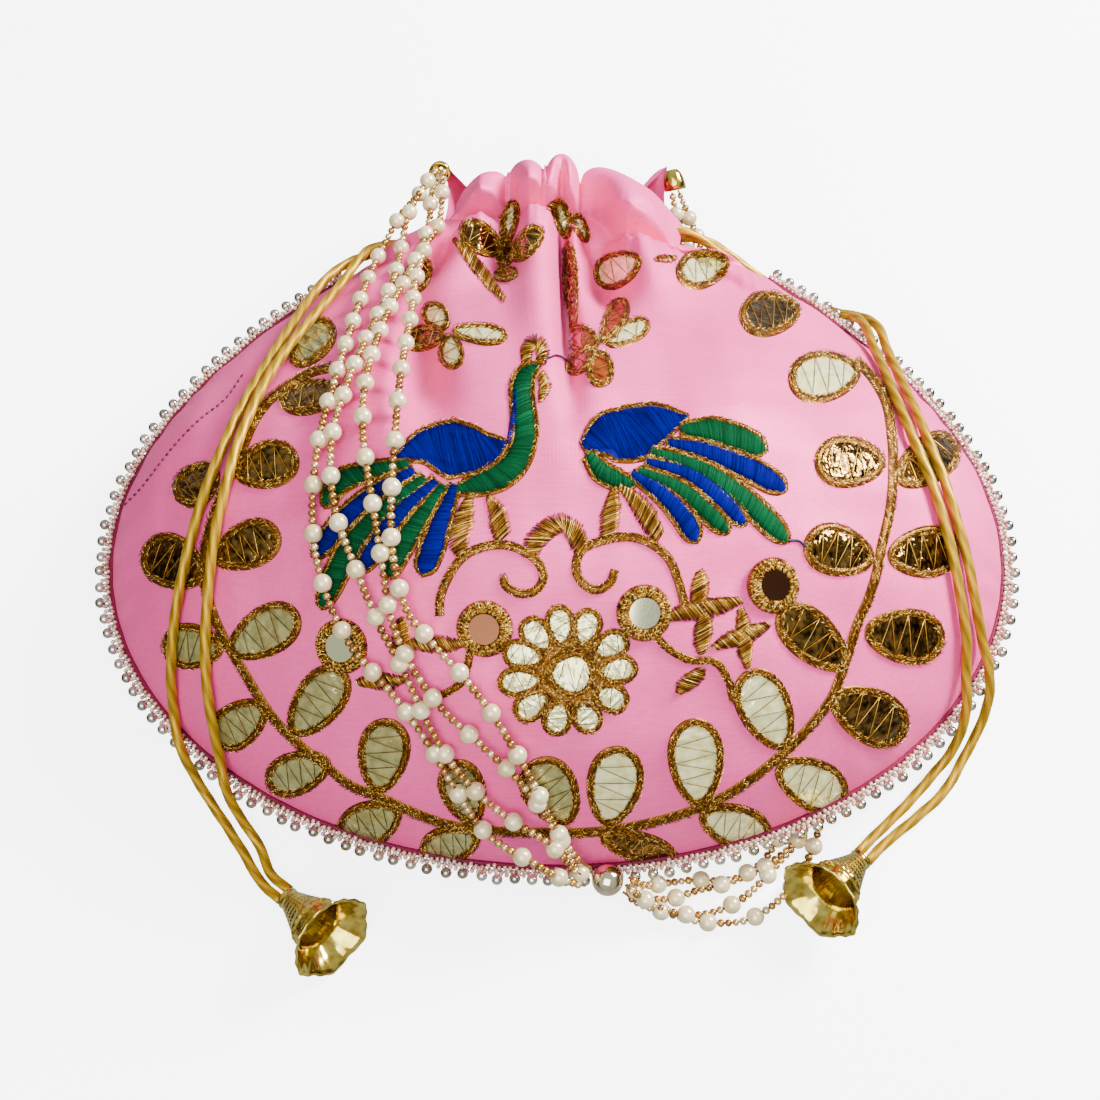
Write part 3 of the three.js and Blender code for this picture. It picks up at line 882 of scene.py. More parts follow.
    def lining_height(self, x: Floats, y: Floats, front: bool) -> Array:
        """Height of the front or back lining.

        Args:
            x, y: plan position.
            front: whether it is the front lining.
        Returns:
            Height above the table.
        """
        across, along = self.shares(x, y, self.lining_gap)
        crown = self.front_fullness if front else self.back_fullness
        rise = crown * self.fullness_along(y, crown) - self.lining_room(y)
        if front:
            return self.seam_height(y) + 0.15 + rise * (across * along) ** self.front_rounding
        sunk = self.seam_height(y) - 0.15 - rise * (across * along) ** self.back_rounding
        return np.maximum(self.lining_floor, sunk)

    def plan(self, u: Array, v: Array, inset: float = 0.0) -> tuple[Array, Array]:
        """Plan position on the cloth: u across from -1 to 1, v from 0 at the base by 1 at the neck to 2.

        Args:
            u, v: cloth coordinates.
            inset: how far inside the panel.
        Returns:
            X and Y.
        """
        row = np.minimum(v, 1.0)
        edge_y = self.widest_y + (self.neck_y - self.widest_y) * row
        edge_y = edge_y + (self.frill_top_y - self.neck_y) * np.maximum(v - 1, 0.0)
        bow = (1 - row) * (self.half_width_max - inset)
        x = bow * (np.sin(np.pi * u / 2) - u) + u * self.half_width(edge_y, inset)
        y = edge_y - (self.base_depth - inset) * (1 - row) * np.cos(np.pi * u / 2)
        return x, y

    def edge_route(self, end_y: float, count: int) -> tuple[Array, Array]:
        """Points of the side and base seam from neck to neck, and the outward direction at each.

        Args:
            end_y: where the seam stops below the neck.
            count: points to return.
        Returns:
            The points and the directions.
        """
        upper = np.linspace(end_y, self.widest_y, 60, endpoint=False)
        angle = np.linspace(-np.pi / 2, np.pi / 2, 181)
        low_x = self.half_width_max * np.sin(angle)
        low_y = self.widest_y - self.base_depth * np.cos(angle)
        x = np.concatenate([-self.half_width(upper), low_x, self.half_width(upper)[::-1]])
        y = np.concatenate([upper, low_y, upper[::-1]])
        line = resample(np.stack([x, y, self.seam_height(y)], axis=1), count)
        along = unit(np.gradient(line, axis=0))
        out = unit(np.stack([along[:, 1], -along[:, 0], np.zeros(count)], axis=1))
        return line, out


FORM = BagForm()


# Cloth

@dataclass(frozen=True)
class ClothSheet:
    """One sewn sheet of the bag, as an open lattice bent to the bag's form."""

    name: str
    node: str
    columns: int
    rows: int
    top: float = 2.0

    def lattice(self) -> tuple[Array, Array]:
        """Cloth coordinates of the lattice, rows closer together at the base.

        Returns:
            Cloth coordinates u and v of every vertex.
        """
        v = np.linspace(0, 1, self.rows) ** 1.15 * self.top
        u = np.linspace(-1, 1, self.columns)
        u = np.sin(0.42 * np.pi * u) / math.sin(0.42 * np.pi)
        return np.meshgrid(u, v)

    def build(self, vertices: Array, material: Material, slot: Slot,
              facing_up: bool) -> Object:
        """Makes the sheet, logs its area of cloth and lets it stand for its CAD node.

        Args:
            vertices: the lattice, (rows, columns, 3).
            material: its finish.
            slot: its record slot.
            facing_up: whether its right side is up.
        Returns:
            The piece.
        """
        rows, columns = vertices.shape[:2]
        quads = lattice_faces(rows, columns)
        parts = MeshParts()
        u, v = np.meshgrid(np.linspace(0, 1, columns), np.linspace(0, 1, rows))
        parts.add(vertices, [quads if facing_up else quads[:, ::-1]], 0.5, np.stack([u, v], axis=-1))
        piece = parts.build(self.name, material, slot)
        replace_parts(piece, self.node)
        area = sum(face.area for face in piece.data.polygons)
        LOG.info("%s has %.4f square metres of cloth", self.name, area)
        return piece


@dataclass
class Bag:
    """The pouch: two satin panels, gathered at the neck, with a lining."""

    finishes: Finishes
    cut: tuple[float, float] = (0.29, 0.27)
    cut_area: float = 0.061
    lining_area: float = 0.051
    front: ClothSheet = ClothSheet("front_panel_satin", "front_panel", 230, 210)
    back: ClothSheet = ClothSheet("back_panel_satin", "back_panel", 130, 120)
    front_lining: ClothSheet = ClothSheet("front_lining_cloth", "front_lining", 70, 60, 1.25)
    back_lining: ClothSheet = ClothSheet("back_lining_cloth", "back_lining", 70, 60, 1.25)
    hem_radius: float = 0.7

    def __post_init__(self) -> None:
        """Shapes the front once, because the embroidery is laid on it."""
        self.front_points = self.front_vertices()

    def wrinkles(self, x: Array, y: Array) -> Array:
        """Soft dents that the stitching pulls into the stuffed cloth.

        Args:
            x, y: plan position.
        Returns:
            Height to add to the smooth cloth.
        """
        slow = np.sin(0.11 * x + 0.07 * y + 1.0) * np.sin(0.13 * y - 0.05 * x)
        quick = np.sin(0.31 * x - 0.22 * y + 2.0) * np.sin(0.27 * y + 0.19 * x + 0.5)
        across, along = FORM.shares(x, y)
        return (0.9 * slow + 0.25 * quick) * np.clip(4 * across * along, 0.0, 1.0)

    def puckers(self, x: Array, y: Array) -> Array:
        """Short puckers where the rim is gathered on to the edging.

        Args:
            x, y: plan position.
        Returns:
            Height to add to the smooth cloth.
        """
        across, along = FORM.shares(x, y)
        near_rim = np.exp(-(((across * along) - 0.06) / 0.07) ** 2)
        angle = np.arctan2(x / FORM.half_width_max, (FORM.widest_y - y) / FORM.base_depth)
        return 0.45 * near_rim * np.sin(46 * angle + 2.2 * np.sin(9 * angle))

    def lobe_share(self, x: Array, y: Array) -> Array:
        """0 at the drawn neck, 1 at the frill's top, on the front panel."""
        neck = drawn_neck(x)
        return np.clip((y - neck) / (FORM.frill_top_y - neck), 0.0, 1.0)

    def front_height(self, x: Array, y: Array) -> Array:
        """Front panel with its listed folds, its neck groove and the frill's lobes.

        Args:
            x, y: plan position.
        Returns:
            Height above the table.
        """
        across, _ = FORM.shares(x, y)
        share = self.lobe_share(x, y)
        inside = np.clip(2.2 * across, 0.0, 1.0)
        folds = sum(fold.offset(x, y) for fold in FRONT_FOLDS) * (1 - share)
        pinch = (y - drawn_neck(x) - NECK_GROOVE_RISE) / NECK_GROOVE_WIDTH
        groove = NECK_GROOVE_DEPTH * np.exp(-(pinch**2))
        pillow = sum(lobe.pillow(x) for lobe in FRILL_LOBES)
        swell = np.clip(0.06 + 0.88 * share, 0.0, 1.0)
        lobes = (pillow - 4.5) * np.sqrt(4 * swell * (1 - swell)) * np.clip(4 * share, 0.0, 1.0)
        smooth = FORM.front_smooth(x, y)
        shaped = folds - groove + lobes + self.fine_gathers(x, y)
        z = smooth + shaped * inside + self.wrinkles(x, y) + self.puckers(x, y)
        on_cord = np.minimum(CASING_CLOTH_Z, smooth - 0.3)
        return z + over_casing(y) * np.maximum(on_cord - z, 0.0)

    def fine_gathers(self, x: Array, y: Array) -> Array:
        """Small crimps that the drawn cord presses into the cloth on both sides of the pinch.

        Args:
            x, y: plan position.
        Returns:
            Height to add to the smooth cloth.
        """
        away = (y - drawn_neck(x)) / np.where(y > drawn_neck(x), 9.0, 14.0)
        crimp = np.sin(1.25 * x + 1.4 * np.sin(0.33 * x)) + 0.6 * np.sin(2.1 * x + 0.7)
        return 0.7 * crimp * np.exp(-(away**2))

    def front_vertices(self) -> Array:
        """Front panel as a lattice, with a hem turned in at the top.

        Returns:
            The lattice, base row first.
        """
        u, v = self.front.lattice()
        x, y = FORM.plan(u, v)
        z = self.front_height(x, y)
        pillow = sum(lobe.pillow(x) for lobe in FRILL_LOBES)
        share = self.lobe_share(x, y)
        right = smoothstep(x, 6, 34)
        left = smoothstep(-x, 14, 32)
        y = y + share * (0.55 * pillow - FRILL_DROP - FRILL_RIGHT_DROP * right - FRILL_LEFT_DROP * left)
        z = z - share * FRILL_LEAN * (1 + right)
        x = x + share * FRILL_RIGHT_SPREAD * right
        return self.with_facing(np.stack([x, y, z], axis=-1), u[0], True)

    def back_vertices(self) -> Array:
        """Back panel, plain, with shallower gathers.

        Returns:
            The lattice, base row first.
        """
        u, v = self.back.lattice()
        x, y = FORM.plan(u, v)
        across, along = FORM.shares(x, y)
        share = FORM.frill_share(y)
        reach = smoothstep(y, FORM.neck_y - 55, FORM.neck_y)
        folds = reach * across * (1.6 * np.sin(0.42 * x + 1.0) + 1.1 * np.sin(0.77 * x))
        z = FORM.back_smooth(x, y) - folds - self.puckers(x, y) - 1.5 * share * np.sin(0.4 * x)
        corner = smoothstep(np.abs(x), 12, 31.5)
        y = y - share * FRILL_DROP * (1 - corner)
        z = np.maximum(z, 0.05) + share * CORNER_LIFT * corner**2
        x = x + share * CORNER_SPREAD * np.sign(x) * corner**2
        return self.with_facing(np.stack([x, y, z], axis=-1), u[0], False)

    def with_facing(self, sheet: Array, u: Array, front: bool) -> Array:
        """Turns the frill's top edge over and leads it down to the lining's top, which closes the casing.

        Args:
            sheet: the panel's lattice, base row first.
            u: cloth coordinate of its columns.
            front: whether it is the front panel.
        Returns:
            The lattice with the turned edge and the facing added.
        """
        inward = -1.0 if front else 1.0
        rows = [sheet]
        for turn in np.linspace(0.25, 1.0, 4) * np.pi:
            shift = self.hem_radius * np.array([0.0, math.sin(turn), inward * (1 - math.cos(turn))])
            rows.append((sheet[-1] + shift)[None])
        turned = rows[-1][0]
        lining_u, lining = self.lining_vertices(front)
        rim = read_along(u, lining_u, lining[-1])
        for share in np.linspace(0.12, 1.0, 8):
            rows.append((turned + (rim - turned) * share)[None])
        return np.concatenate(rows)

    def build_panels(self) -> None:
        """Front and back panels, made as gathered sheets."""
        satin = self.finishes.satin
        front = self.front.build(self.front_points, satin, Slot.SATIN, True)
        back = self.back.build(self.back_vertices(), satin, Slot.SATIN, False)

    def lining_vertices(self, front: bool) -> tuple[Array, Array]:
        """Cloth coordinate of a lining's columns, and its lattice, which ends just above the casing.

        Args:
            front: whether it is the front lining.
        Returns:
            The columns' u, and the lattice.
        """
        u, v = self.front_lining.lattice()
        x, y = FORM.plan(u, v, FORM.lining_gap)
        z = FORM.lining_height(x, y, front)
        share = smoothstep(y, FORM.neck_y - 48, FORM.neck_y - 6)
        narrow = (FORM.casing_side_room - FORM.lining_gap) * share
        x = x * (1 - narrow / np.maximum(FORM.half_width(y, FORM.lining_gap), 1.0))
        if front:
            z = np.minimum(z, self.front_height(x, y) - 1.6 - 3.2 * share)
            z = z - over_casing(y) * np.maximum(z - CASING_LINING_Z, 0.0)
        return u[0], np.stack([x, y, z], axis=-1)

    def build_linings(self) -> None:
        """Front and back linings, which show only in the mouth."""
        for sheet, front in ((self.front_lining, True), (self.back_lining, False)):
            vertices = self.lining_vertices(front)[1]
            piece = sheet.build(vertices, self.finishes.lining, Slot.LINING, front)


# Sight lines of the photograph

@dataclass
class PhotoSight:
    """The camera of the photograph, and where its pixels meet the front panel."""

    seat: Point = (-2.0, -171.0, 424.0)
    target: Point = (-2.0, 0.0, 40.0)
    focal_px: float = 1533.0
    size_px: float = 1100.0
    sensor_mm: float = 36.0
    reach_mm: float = 440.0

    def __post_init__(self) -> None:
        """Finds the camera's own axes."""
        self.place = np.array(self.seat)
        self.forward = unit(np.array(self.target) - self.place)
        self.right = np.array([1.0, 0.0, 0.0])
        self.up = np.cross(self.right, self.forward)
        self.tree: BVHTree | None = None

    def add_camera(self) -> None:
        """Makes the scene's camera at the photograph's angle."""
        data = bpy.data.cameras.new("photo_camera")
        data.sensor_width = self.sensor_mm
        data.lens = self.sensor_mm * self.focal_px / self.size_px
        camera = bpy.data.objects.new("photo_camera", data)
        camera.location = Vector(self.place * MM)
        camera.rotation_euler = Vector(self.forward).to_track_quat("-Z", "Y").to_euler()
        bpy.context.scene.collection.objects.link(camera)
        bpy.context.scene.camera = camera

    def aim_at(self, sheet: Array) -> None:
        """Takes a lattice of cloth as the surface that the sight lines meet.

        Args:
            sheet: the lattice, (rows, columns, 3).
        """
        rows, columns = sheet.shape[:2]
        faces = lattice_faces(rows, columns).tolist()
        self.tree = BVHTree.FromPolygons(sheet.reshape(-1, 3).tolist(), faces)

    def on_cloth(self, pixels: Array) -> tuple[Array, Array]:
        """Points and outward directions of the cloth under an array of pixels (..., 2).

        Args:
            pixels: points of the photograph.
        Returns:
            Both, in the shape of the pixels.
        """
        pixels = np.asarray(pixels, float)
        offset = (pixels - self.size_px / 2) / self.focal_px
        rays = self.forward + offset[..., :1] * self.right - offset[..., 1:] * self.up
        origin = Vector(self.place)
        flat = rays.reshape(-1, 3)
        points = np.empty_like(flat)
        normals = np.empty_like(flat)
        for i, ray in enumerate(flat):
            hit, normal, _, _ = self.tree.ray_cast(origin, Vector(ray))
            if hit is None:
                far = self.place + unit(ray) * self.reach_mm
                hit, normal, _, _ = self.tree.find_nearest(Vector(far))
            points[i] = hit
            normals[i] = normal if normal.z >= 0 else -normal
        return points.reshape(rays.shape), normals.reshape(rays.shape)


# Cords

LEFT_OUTER_TAIL = [
    (-75.6, -88.1, 2.9), (-81.6, -82.8, 1.9), (-86.5, -75.5, 1.9), (-92.5, -67, 1.9), (-98, -59.5, 3.2),
    (-101.5, -54, 8), (-103.8, -49.3, 14.5), (-105, -45.2, 17), (-105.6, -40.5, 19.5), (-105, -33),
    (-103.6, -23), (-101, -11), (-97.4, 3), (-94, 15), (-90.8, 26), (-88, 37), (-85, 48), (-81.5, 62),
    (-78, 76), (-75, 88), (-71, 97.5, 26.5), (-65, 105.5, 23.4), (-57.5, 111.4, 19.7),
]
LEFT_CASING = [
    (-48.5, 113.2, 19.1), (-38, 113.2, 18.6), (-28, 113.2, 15.6), (-10, 113.2, 11.6), (10, 113.2, 11.6),
    (22, 113.2, 12.4), (30, 113.2, 13.6), (34.7, 113.2, 15.5), (36.5, 113.2, 19.5), (34.7, 113.2, 23.5),
    (30, 113.2, 25.4), (20, 113.2, 25.6), (0, 113.2, 25.6), (-20, 113.2, 25.4), (-30, 113.2, 24.8),
    (-38, 113.2, 23.8), (-47, 113.2, 22.8),
]
LEFT_INNER_TAIL = [
    (-53.4, 112.3, 23.3), (-58.2, 108.6, 26.2), (-61, 102.5, 29), (-65, 93), (-69.5, 82), (-74, 71),
    (-78.5, 58.5), (-82, 46), (-84.5, 34.3), (-87, 22.5), (-89, 10), (-91.2, -2.7), (-92.8, -17.5),
    (-93.7, -29), (-93.6, -39.5), (-92.6, -48), (-91.8, -54, 18.5), (-91, -59.2, 15), (-89, -64, 8.8),
    (-85.5, -69, 3.4), (-82, -74, 1.9), (-79.3, -80.2, 1.9), (-73.3, -85.5, 2.9),
]
LEFT_CORD = LEFT_OUTER_TAIL + LEFT_CASING + LEFT_INNER_TAIL
RIGHT_OUTER_TAIL = [
    (85.6, -77.5, 2.9), (91.4, -72, 1.9), (99.8, -65.5, 1.9), (109, -57.5, 1.9), (116, -47, 2.2),
    (120, -39.5, 7), (121.3, -33.5, 14), (120.6, -27.5, 19.4), (118.2, -20.5, 24.5), (115.2, -13),
    (112.6, -2), (109.8, 8), (107, 19.4), (104, 32), (101.8, 46), (100.5, 59), (99.3, 71, 28),
    (98, 80.5, 25.4), (95.5, 88.5, 18.5), (88.5, 95.5, 11), (78.5, 103.5, 5.5), (67.5, 111, 5.5),
    (57, 117, 10), (48.5, 119.2, 15.5),
]
RIGHT_CASING = [
    (40.5, 118.4, 18.6), (32, 118.2, 18.2), (20, 118.2, 14.9), (7, 118.2, 11.6), (-7, 118.2, 11.6),
    (-16, 118.2, 12.4), (-24, 118.2, 13.6), (-28.7, 118.2, 15.5), (-30.5, 118.2, 19.5),
    (-28.7, 118.2, 23.5), (-24, 118.2, 25.4), (-14, 118.2, 25.6), (0, 118.2, 25.6), (14, 118.2, 25.6),
    (24, 118.2, 25), (32, 118.2, 23.9), (40.5, 118.2, 22.4),
]
RIGHT_INNER_TAIL = [
    (47.5, 115.8, 19.6), (56, 112.4, 14), (65.8, 106.5, 9.5), (76, 99, 9.5), (85.5, 92.2, 14.5),
    (91.5, 87.5, 20.8), (93.6, 80, 27), (94.5, 71, 30.5), (95.5, 59), (96.4, 46), (98.9, 30.2),
    (102.3, 17.7), (105.2, 6.6), (107.8, -3.6), (109.9, -13.2), (112, -22.2), (113.1, -30, 22.5),
    (113.8, -35.5, 18.4), (113.5, -41, 13.5), (111.2, -47, 6.5), (105.5, -53.5, 2.2), (98, -61.3, 1.9),
    (89, -69.5, 1.9), (83.2, -75, 2.9),
]
RIGHT_CORD = RIGHT_OUTER_TAIL + RIGHT_CASING + RIGHT_INNER_TAIL


@dataclass
class Drawcord:
    """A twisted satin cord, from its bell through the casing and back to the bell."""

    name: str
    node: str
    chosen: list
    finishes: Finishes
    radius: float = 1.5
    lift: float = 2.2
    sides: int = 20
    samples: int = 700
    plies: int = 3
    yarns: int = 9
    lay_mm: float = 27.0
    ply_depth: float = 0.05
    yarn_depth: float = 0.02
    # Painted shade: how much darker the tone is in the grooves between plies
    groove_painted_shade: float = 0.15

    def route(self) -> Array:
        """The cord's line: a point with no height rests on the front panel.

        Returns:
            Points at even steps.
        """
        full = []
        for x, y, *z in self.chosen:
            full.append((x, y, z[0] if z else float(FORM.rest_height(x, y, self.lift))))
        return spline(full, self.samples)

    def build(self, bell: Object) -> None:
        """Makes the cord as a tube whose section turns with the lay of its plies.

        Args:
            bell: the bell that hangs on it; not used.
        """
        line = self.route()
        sides = self.sides
        along = unit(np.gradient(line, axis=0))
        side = unit(np.cross(along, [0.0, 0.0, 1.0]))
        up = np.cross(side, along)
        distance = lengths_along(line)
        angle = 2 * np.pi * np.arange(sides) / sides - np.pi / 2
        wound = angle[None] - 2 * np.pi * distance[:, None] / self.lay_mm
        ply = np.cos(self.plies * wound)
        yarn = np.cos(self.yarns * wound)
        core = 1 - self.ply_depth - self.yarn_depth
        radius = self.radius * (core + self.ply_depth * ply + self.yarn_depth * yarn)
        ring = np.cos(angle)[:, None] * side[:, None] + np.sin(angle)[:, None] * up[:, None]
        vertices = line[:, None] + radius[..., None] * ring
        uv = np.stack(np.broadcast_arrays(wound * self.radius, distance[:, None]), axis=-1)
        ends = [np.arange(sides)[None], (len(line) - 1) * sides + np.arange(sides)[None, ::-1]]
        parts = MeshParts()
        quads = lattice_faces(len(line), sides, wrap=True)[:, ::-1]
        # The tone is painted lighter on the plies' crowns and darker in the grooves between them, as painted
        # highlight and shade
        parts.add(vertices, [quads, *ends], (0.4 + self.groove_painted_shade * ply).ravel(), uv)
        piece = parts.build(self.name, self.finishes.cord, Slot.CORD)
        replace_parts(piece, self.node)


@dataclass
class Bell:
    """Flower bell: cross-hatched fluted cone, dotted collar and a flared mouth of six petals."""

    name: str
    node: str
    neck: Point
    heading: tuple[float, float]
    finishes: Finishes
    length: float = 21.0
    wall: float = 0.9
    tilt_deg: float = 25.0
    petals: int = 6
    flutes: int = 16
    segments: int = 108
    skirt_start: float = 14.2
    petal_spread: float = 0.03
    petal_rise: float = 0.3
    hatch_depth: float = 0.035
    hatch_pitch: float = 1.9
    collar_dots: int = 24
    collar_height: float = 13.0
    dot_depth: float = 0.02
    vein_depth: float = 0.015
    outline: tuple[tuple[float, float], ...] = (
        (2.5, 0), (3.0, 0.3), (3.25, 0.8), (2.95, 1.4), (2.9, 1.8), (4.5, 6.5), (6.4, 11.6),
        (7.0, 12.2), (7.3, 12.8), (7.3, 13.3), (7.0, 13.9), (6.9, 14.3), (7.4, 15.4), (8.2, 16.6),
        (9.2, 18.0), (10.4, 19.4), (12.0, 21.0),
    )

    def axis(self) -> Array:
        """Direction from the narrow end to the mouth.

        Returns:
            A direction of length one.
        """
        tilt = math.radians(self.tilt_deg)
        flat = unit(np.array([*self.heading, 0.0]))
        return flat * math.cos(tilt) + np.array([0.0, 0.0, math.sin(tilt)])

    def relief(self, radius: Array, height: Array,
               angle: Array) -> tuple[Array, Array]:
        """Petals, flutes with a cross-hatch, and veins that run down the petals.

        Args:
            radius, height, angle: place of each vertex of the plain bell.
        Returns:
            The new radius and height.
        """
        flare = np.clip((height - self.skirt_start) / (self.length - self.skirt_start), 0.0, 1.0) ** 2
        cone = np.clip((height - 1.8) / 1.5, 0.0, 1.0) * np.clip((11.8 - height) / 1.0, 0.0, 1.0)
        turn, climb = self.flutes * angle, self.hatch_pitch * height
        hatch = cone * np.cos(turn + climb) * np.cos(turn - climb)
        dots = np.exp(-(((height - self.collar_height) / 0.5) ** 2)) * np.cos(self.collar_dots * angle)
        vein = np.cos(3 * self.petals * angle) * flare
        petal = np.cos(self.petals * angle) * flare
        scale = 1 + self.petal_spread * petal + self.hatch_depth * hatch
        scale = scale + self.dot_depth * dots + self.vein_depth * vein
        return radius * scale, height + self.petal_rise * petal

    def build(self) -> Object:
        """Makes the bell in place of its CAD node.

        Returns:
            The piece.
        """
        outer = resample(np.array(self.outline, float), 70)
        inner = np.array([(r - self.wall, z) for r, z in self.outline if z < 12 or z > 14])[::-1]
        ring = np.concatenate([outer, resample(inner, 24)])
        parts = MeshParts()
        parts.add(*revolve(ring, self.neck, self.axis(), self.segments, self.relief))
        piece = parts.build(self.name, self.finishes.gold, Slot.GOLD)
        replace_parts(piece, self.node)
        return piece


# Strap and beads

STRAP_FRONT = [
    (-37.1, 136.5, 28, 1.9), (-38, 132.5, 30.8, 2.4), (-40, 126, 32, 3.6), (-42.5, 115, 33, 5.6),
    (-45.4, 103, None, 7), (-47.6, 87, None, 8), (-50, 69.5, None, 9), (-53, 39, None, 9.5),
    (-54, 17.8, None, 10), (-52.5, -0.8, None, 10), (-49.5, -15, None, 9.5), (-44.3, -30.5, None, 8.5),
    (-37.5, -41, None, 8), (-30, -51, None, 8), (-22, -60, None, 8), (-12.4, -69, None, 7.5),
    (-1.5, -78.5, 28, 5), (4.6, -83.5, 19.5, 3.4), (8, -84.6, 15.6, 2.6),
]
STRAP_BACK = [
    (18.3, -86, 13, 1.9), (22.5, -88, 9, 2.6), (30, -89, 4.5, 4), (39, -88.5, 2.8, 5.2),
    (49, -86.5, 2.8, 5.5), (58.5, -80.5, 2.8, 5.5), (66.5, -71.5, 2.8, 5.5), (72.5, -60, 2.8, 5.5),
    (81, -50, 2.8, 5.5),
    (93.6, -41, 2.8, 5.5), (105, -29.5, 2.8, 5.5), (113.5, -17, 2.8, 5.5), (118.5, -3.6, 2.8, 5.5),
    (120, 10, 2.8, 5.5), (117.5, 27.6, 2.8, 5.5), (109, 45.5, 2.8, 5.5), (95, 64, 2.8, 5.5),
    (75, 83, 2.8, 5.5), (57, 98, 4, 5), (48, 111, 6.5, 4), (42.5, 124, 14, 3), (38.5, 133.4, 21, 1.9),
]


@dataclass
class Strap:
    """Four beaded threads on each side of a ball, sewn to the frill's sides with small caps."""

    finishes: Finishes
    strands: int = 4
    lift: float = 3.0
    stack: float = 1.9
    sway: float = 2.0
    pearl_radius: float = 2.5
    seed_radius: float = 1.15
    seed_pitch: float = 2.05
    seeds_between: int = 4
    thread_radius: float = 0.35
    ball_centre: Point = (13.4, -85.0, 14.0)
    ball_radius: float = 4.2
    ball_axis: Point = (0.98, -0.13, -0.2)
    # Caps: node, seat and direction
    ends: tuple = (
        ("strap_end_left", (-36.8, 141.2, 24.4), (-0.05, -0.8, 0.6)),
        ("strap_end_right", (36.9, 139.4, 26.0), (0.2, -0.76, -0.6)),
    )
    end_profile: tuple[tuple[float, float], ...] = (
        (0.6, 0), (1.8, 0.2), (2.6, 1.4), (3.1, 2.8), (3.4, 4.4), (3.5, 6.6), (3.0, 6.6), (2.9, 4.4),
        (2.2, 1.9), (0.6, 1.2),
    )

    def strand_line(self, middle: list, index: int) -> Array:
        """One strand beside the middle route, raised on its neighbours where they bunch up.

        Args:
            middle: the strap's own route, with its half spread.
            index: which strand.
        Returns:
            Points at even steps.
        """
        centre = (self.strands - 1) / 2
        side = (index - centre) / centre
        line = []
        for i, (x, y, z, spread) in enumerate(middle):
            before = middle[max(i - 1, 0)]
            after = middle[min(i + 1, len(middle) - 1)]
            along = unit(np.array([after[0] - before[0], after[1] - before[1]], float))
            bunched = min(max((5 - spread) / 3, 0.0), 1.0)
            sway = self.sway * (1 - bunched) * math.sin(1.1 * i + 1.9 * index)
            offset = side * spread * (1 - 0.12 * bunched) + sway
            px = x - along[1] * offset
            py = y + along[0] * offset
            rest = float(FORM.rest_height(px, py, self.lift)) if z is None else z
            line.append((px, py, rest + bunched * self.stack * (-1 if index % 2 == 0 else 1)))
        return spline(line, 400)

    def add_strand(self, half: str, middle: list, index: int) -> None:
        """One thread with its pearls and seed beads.

        Args:
            half: front or back.
            middle: the strap's own route.
            index: which strand.
        """
        line = self.strand_line(middle, index)
        distance = lengths_along(line)
        gap = self.seeds_between * self.seed_pitch
        pitch = 2 * self.pearl_radius + gap
        phase = (index * 0.37 % 1.0) * pitch
        random = np.random.default_rng(40 + index)
        at = np.arange(-phase, distance[-1] + pitch, pitch)
        seed_steps = self.pearl_radius + self.seed_pitch * (np.arange(self.seeds_between) + 0.5)
        seeds_at = (at[:, None] + seed_steps).ravel()
        tangent = unit(np.gradient(line, axis=0))

        def on_line(where: Array, margin: float) -> tuple[Array, Array]:
            """Places and directions at distances along the thread, clear of its ends."""
            where = where[(where > margin) & (where < distance[-1] - margin)]
            return read_along(where, distance, line), read_along(where, distance, tangent)

        pearls, leads = on_line(at, self.pearl_radius)
        seeds, seed_leads = on_line(seeds_at, self.seed_radius)
        pearl_parts = MeshParts()
        add_beads(pearl_parts, round_bead(18, 11), pearls, leads, self.pearl_radius, 1.0,
                  random.uniform(0.3, 1.0, len(pearls)))
        seed_parts = MeshParts()
        add_beads(seed_parts, round_bead(8, 5), seeds, seed_leads,
                  random.normal(self.seed_radius, 0.06, len(seeds)), 0.92,
                  random.uniform(0.0, 1.0, len(seeds)))
        label = f"strap_{half}_{index + 1}"
        beads = [
            pearl_parts.build(f"{label}_pearls", self.finishes.pearl, Slot.BEADS),
            seed_parts.build(f"{label}_seeds", self.finishes.seed, Slot.BEADS),
        ]
        curve = bpy.data.curves.new(f"{label}_thread", "CURVE")
        curve.dimensions = "3D"
        curve.bevel_depth = self.thread_radius * MM
        curve.bevel_resolution = 1
        track = curve.splines.new("POLY")
        points = resample(line, 90) * MM
        track.points.add(len(points) - 1)
        track.points.foreach_set("co", np.concatenate([points, np.ones((len(points), 1))], axis=1).ravel())
        curve.materials.append(self.finishes.pale_zari)
        thread = place(bpy.data.objects.new(f"{label}_thread", curve), Slot.BEADS)
        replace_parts(thread, f"strap_{half}_strand_{index + 1}")

    def build(self) -> None:
        """All strands, the ball and the caps."""
        for half, middle in (("front", STRAP_FRONT), ("back", STRAP_BACK)):
            for index in range(self.strands):
                self.add_strand(half, middle, index)
        ball = MeshParts()
        centre, axis = np.array([self.ball_centre]), np.array([self.ball_axis])
        add_beads(ball, round_bead(40, 26), centre, axis, self.ball_radius)
        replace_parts(ball.build("ball_bead_gold", self.finishes.champagne, Slot.GOLD), "ball_bead")
        for node, seat, axis in self.ends:
            cap = MeshParts()
            cap.add(*revolve(np.array(self.end_profile, float), seat, axis, 40))
            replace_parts(cap.build(f"{node}_cap", self.finishes.gold, Slot.GOLD), node)


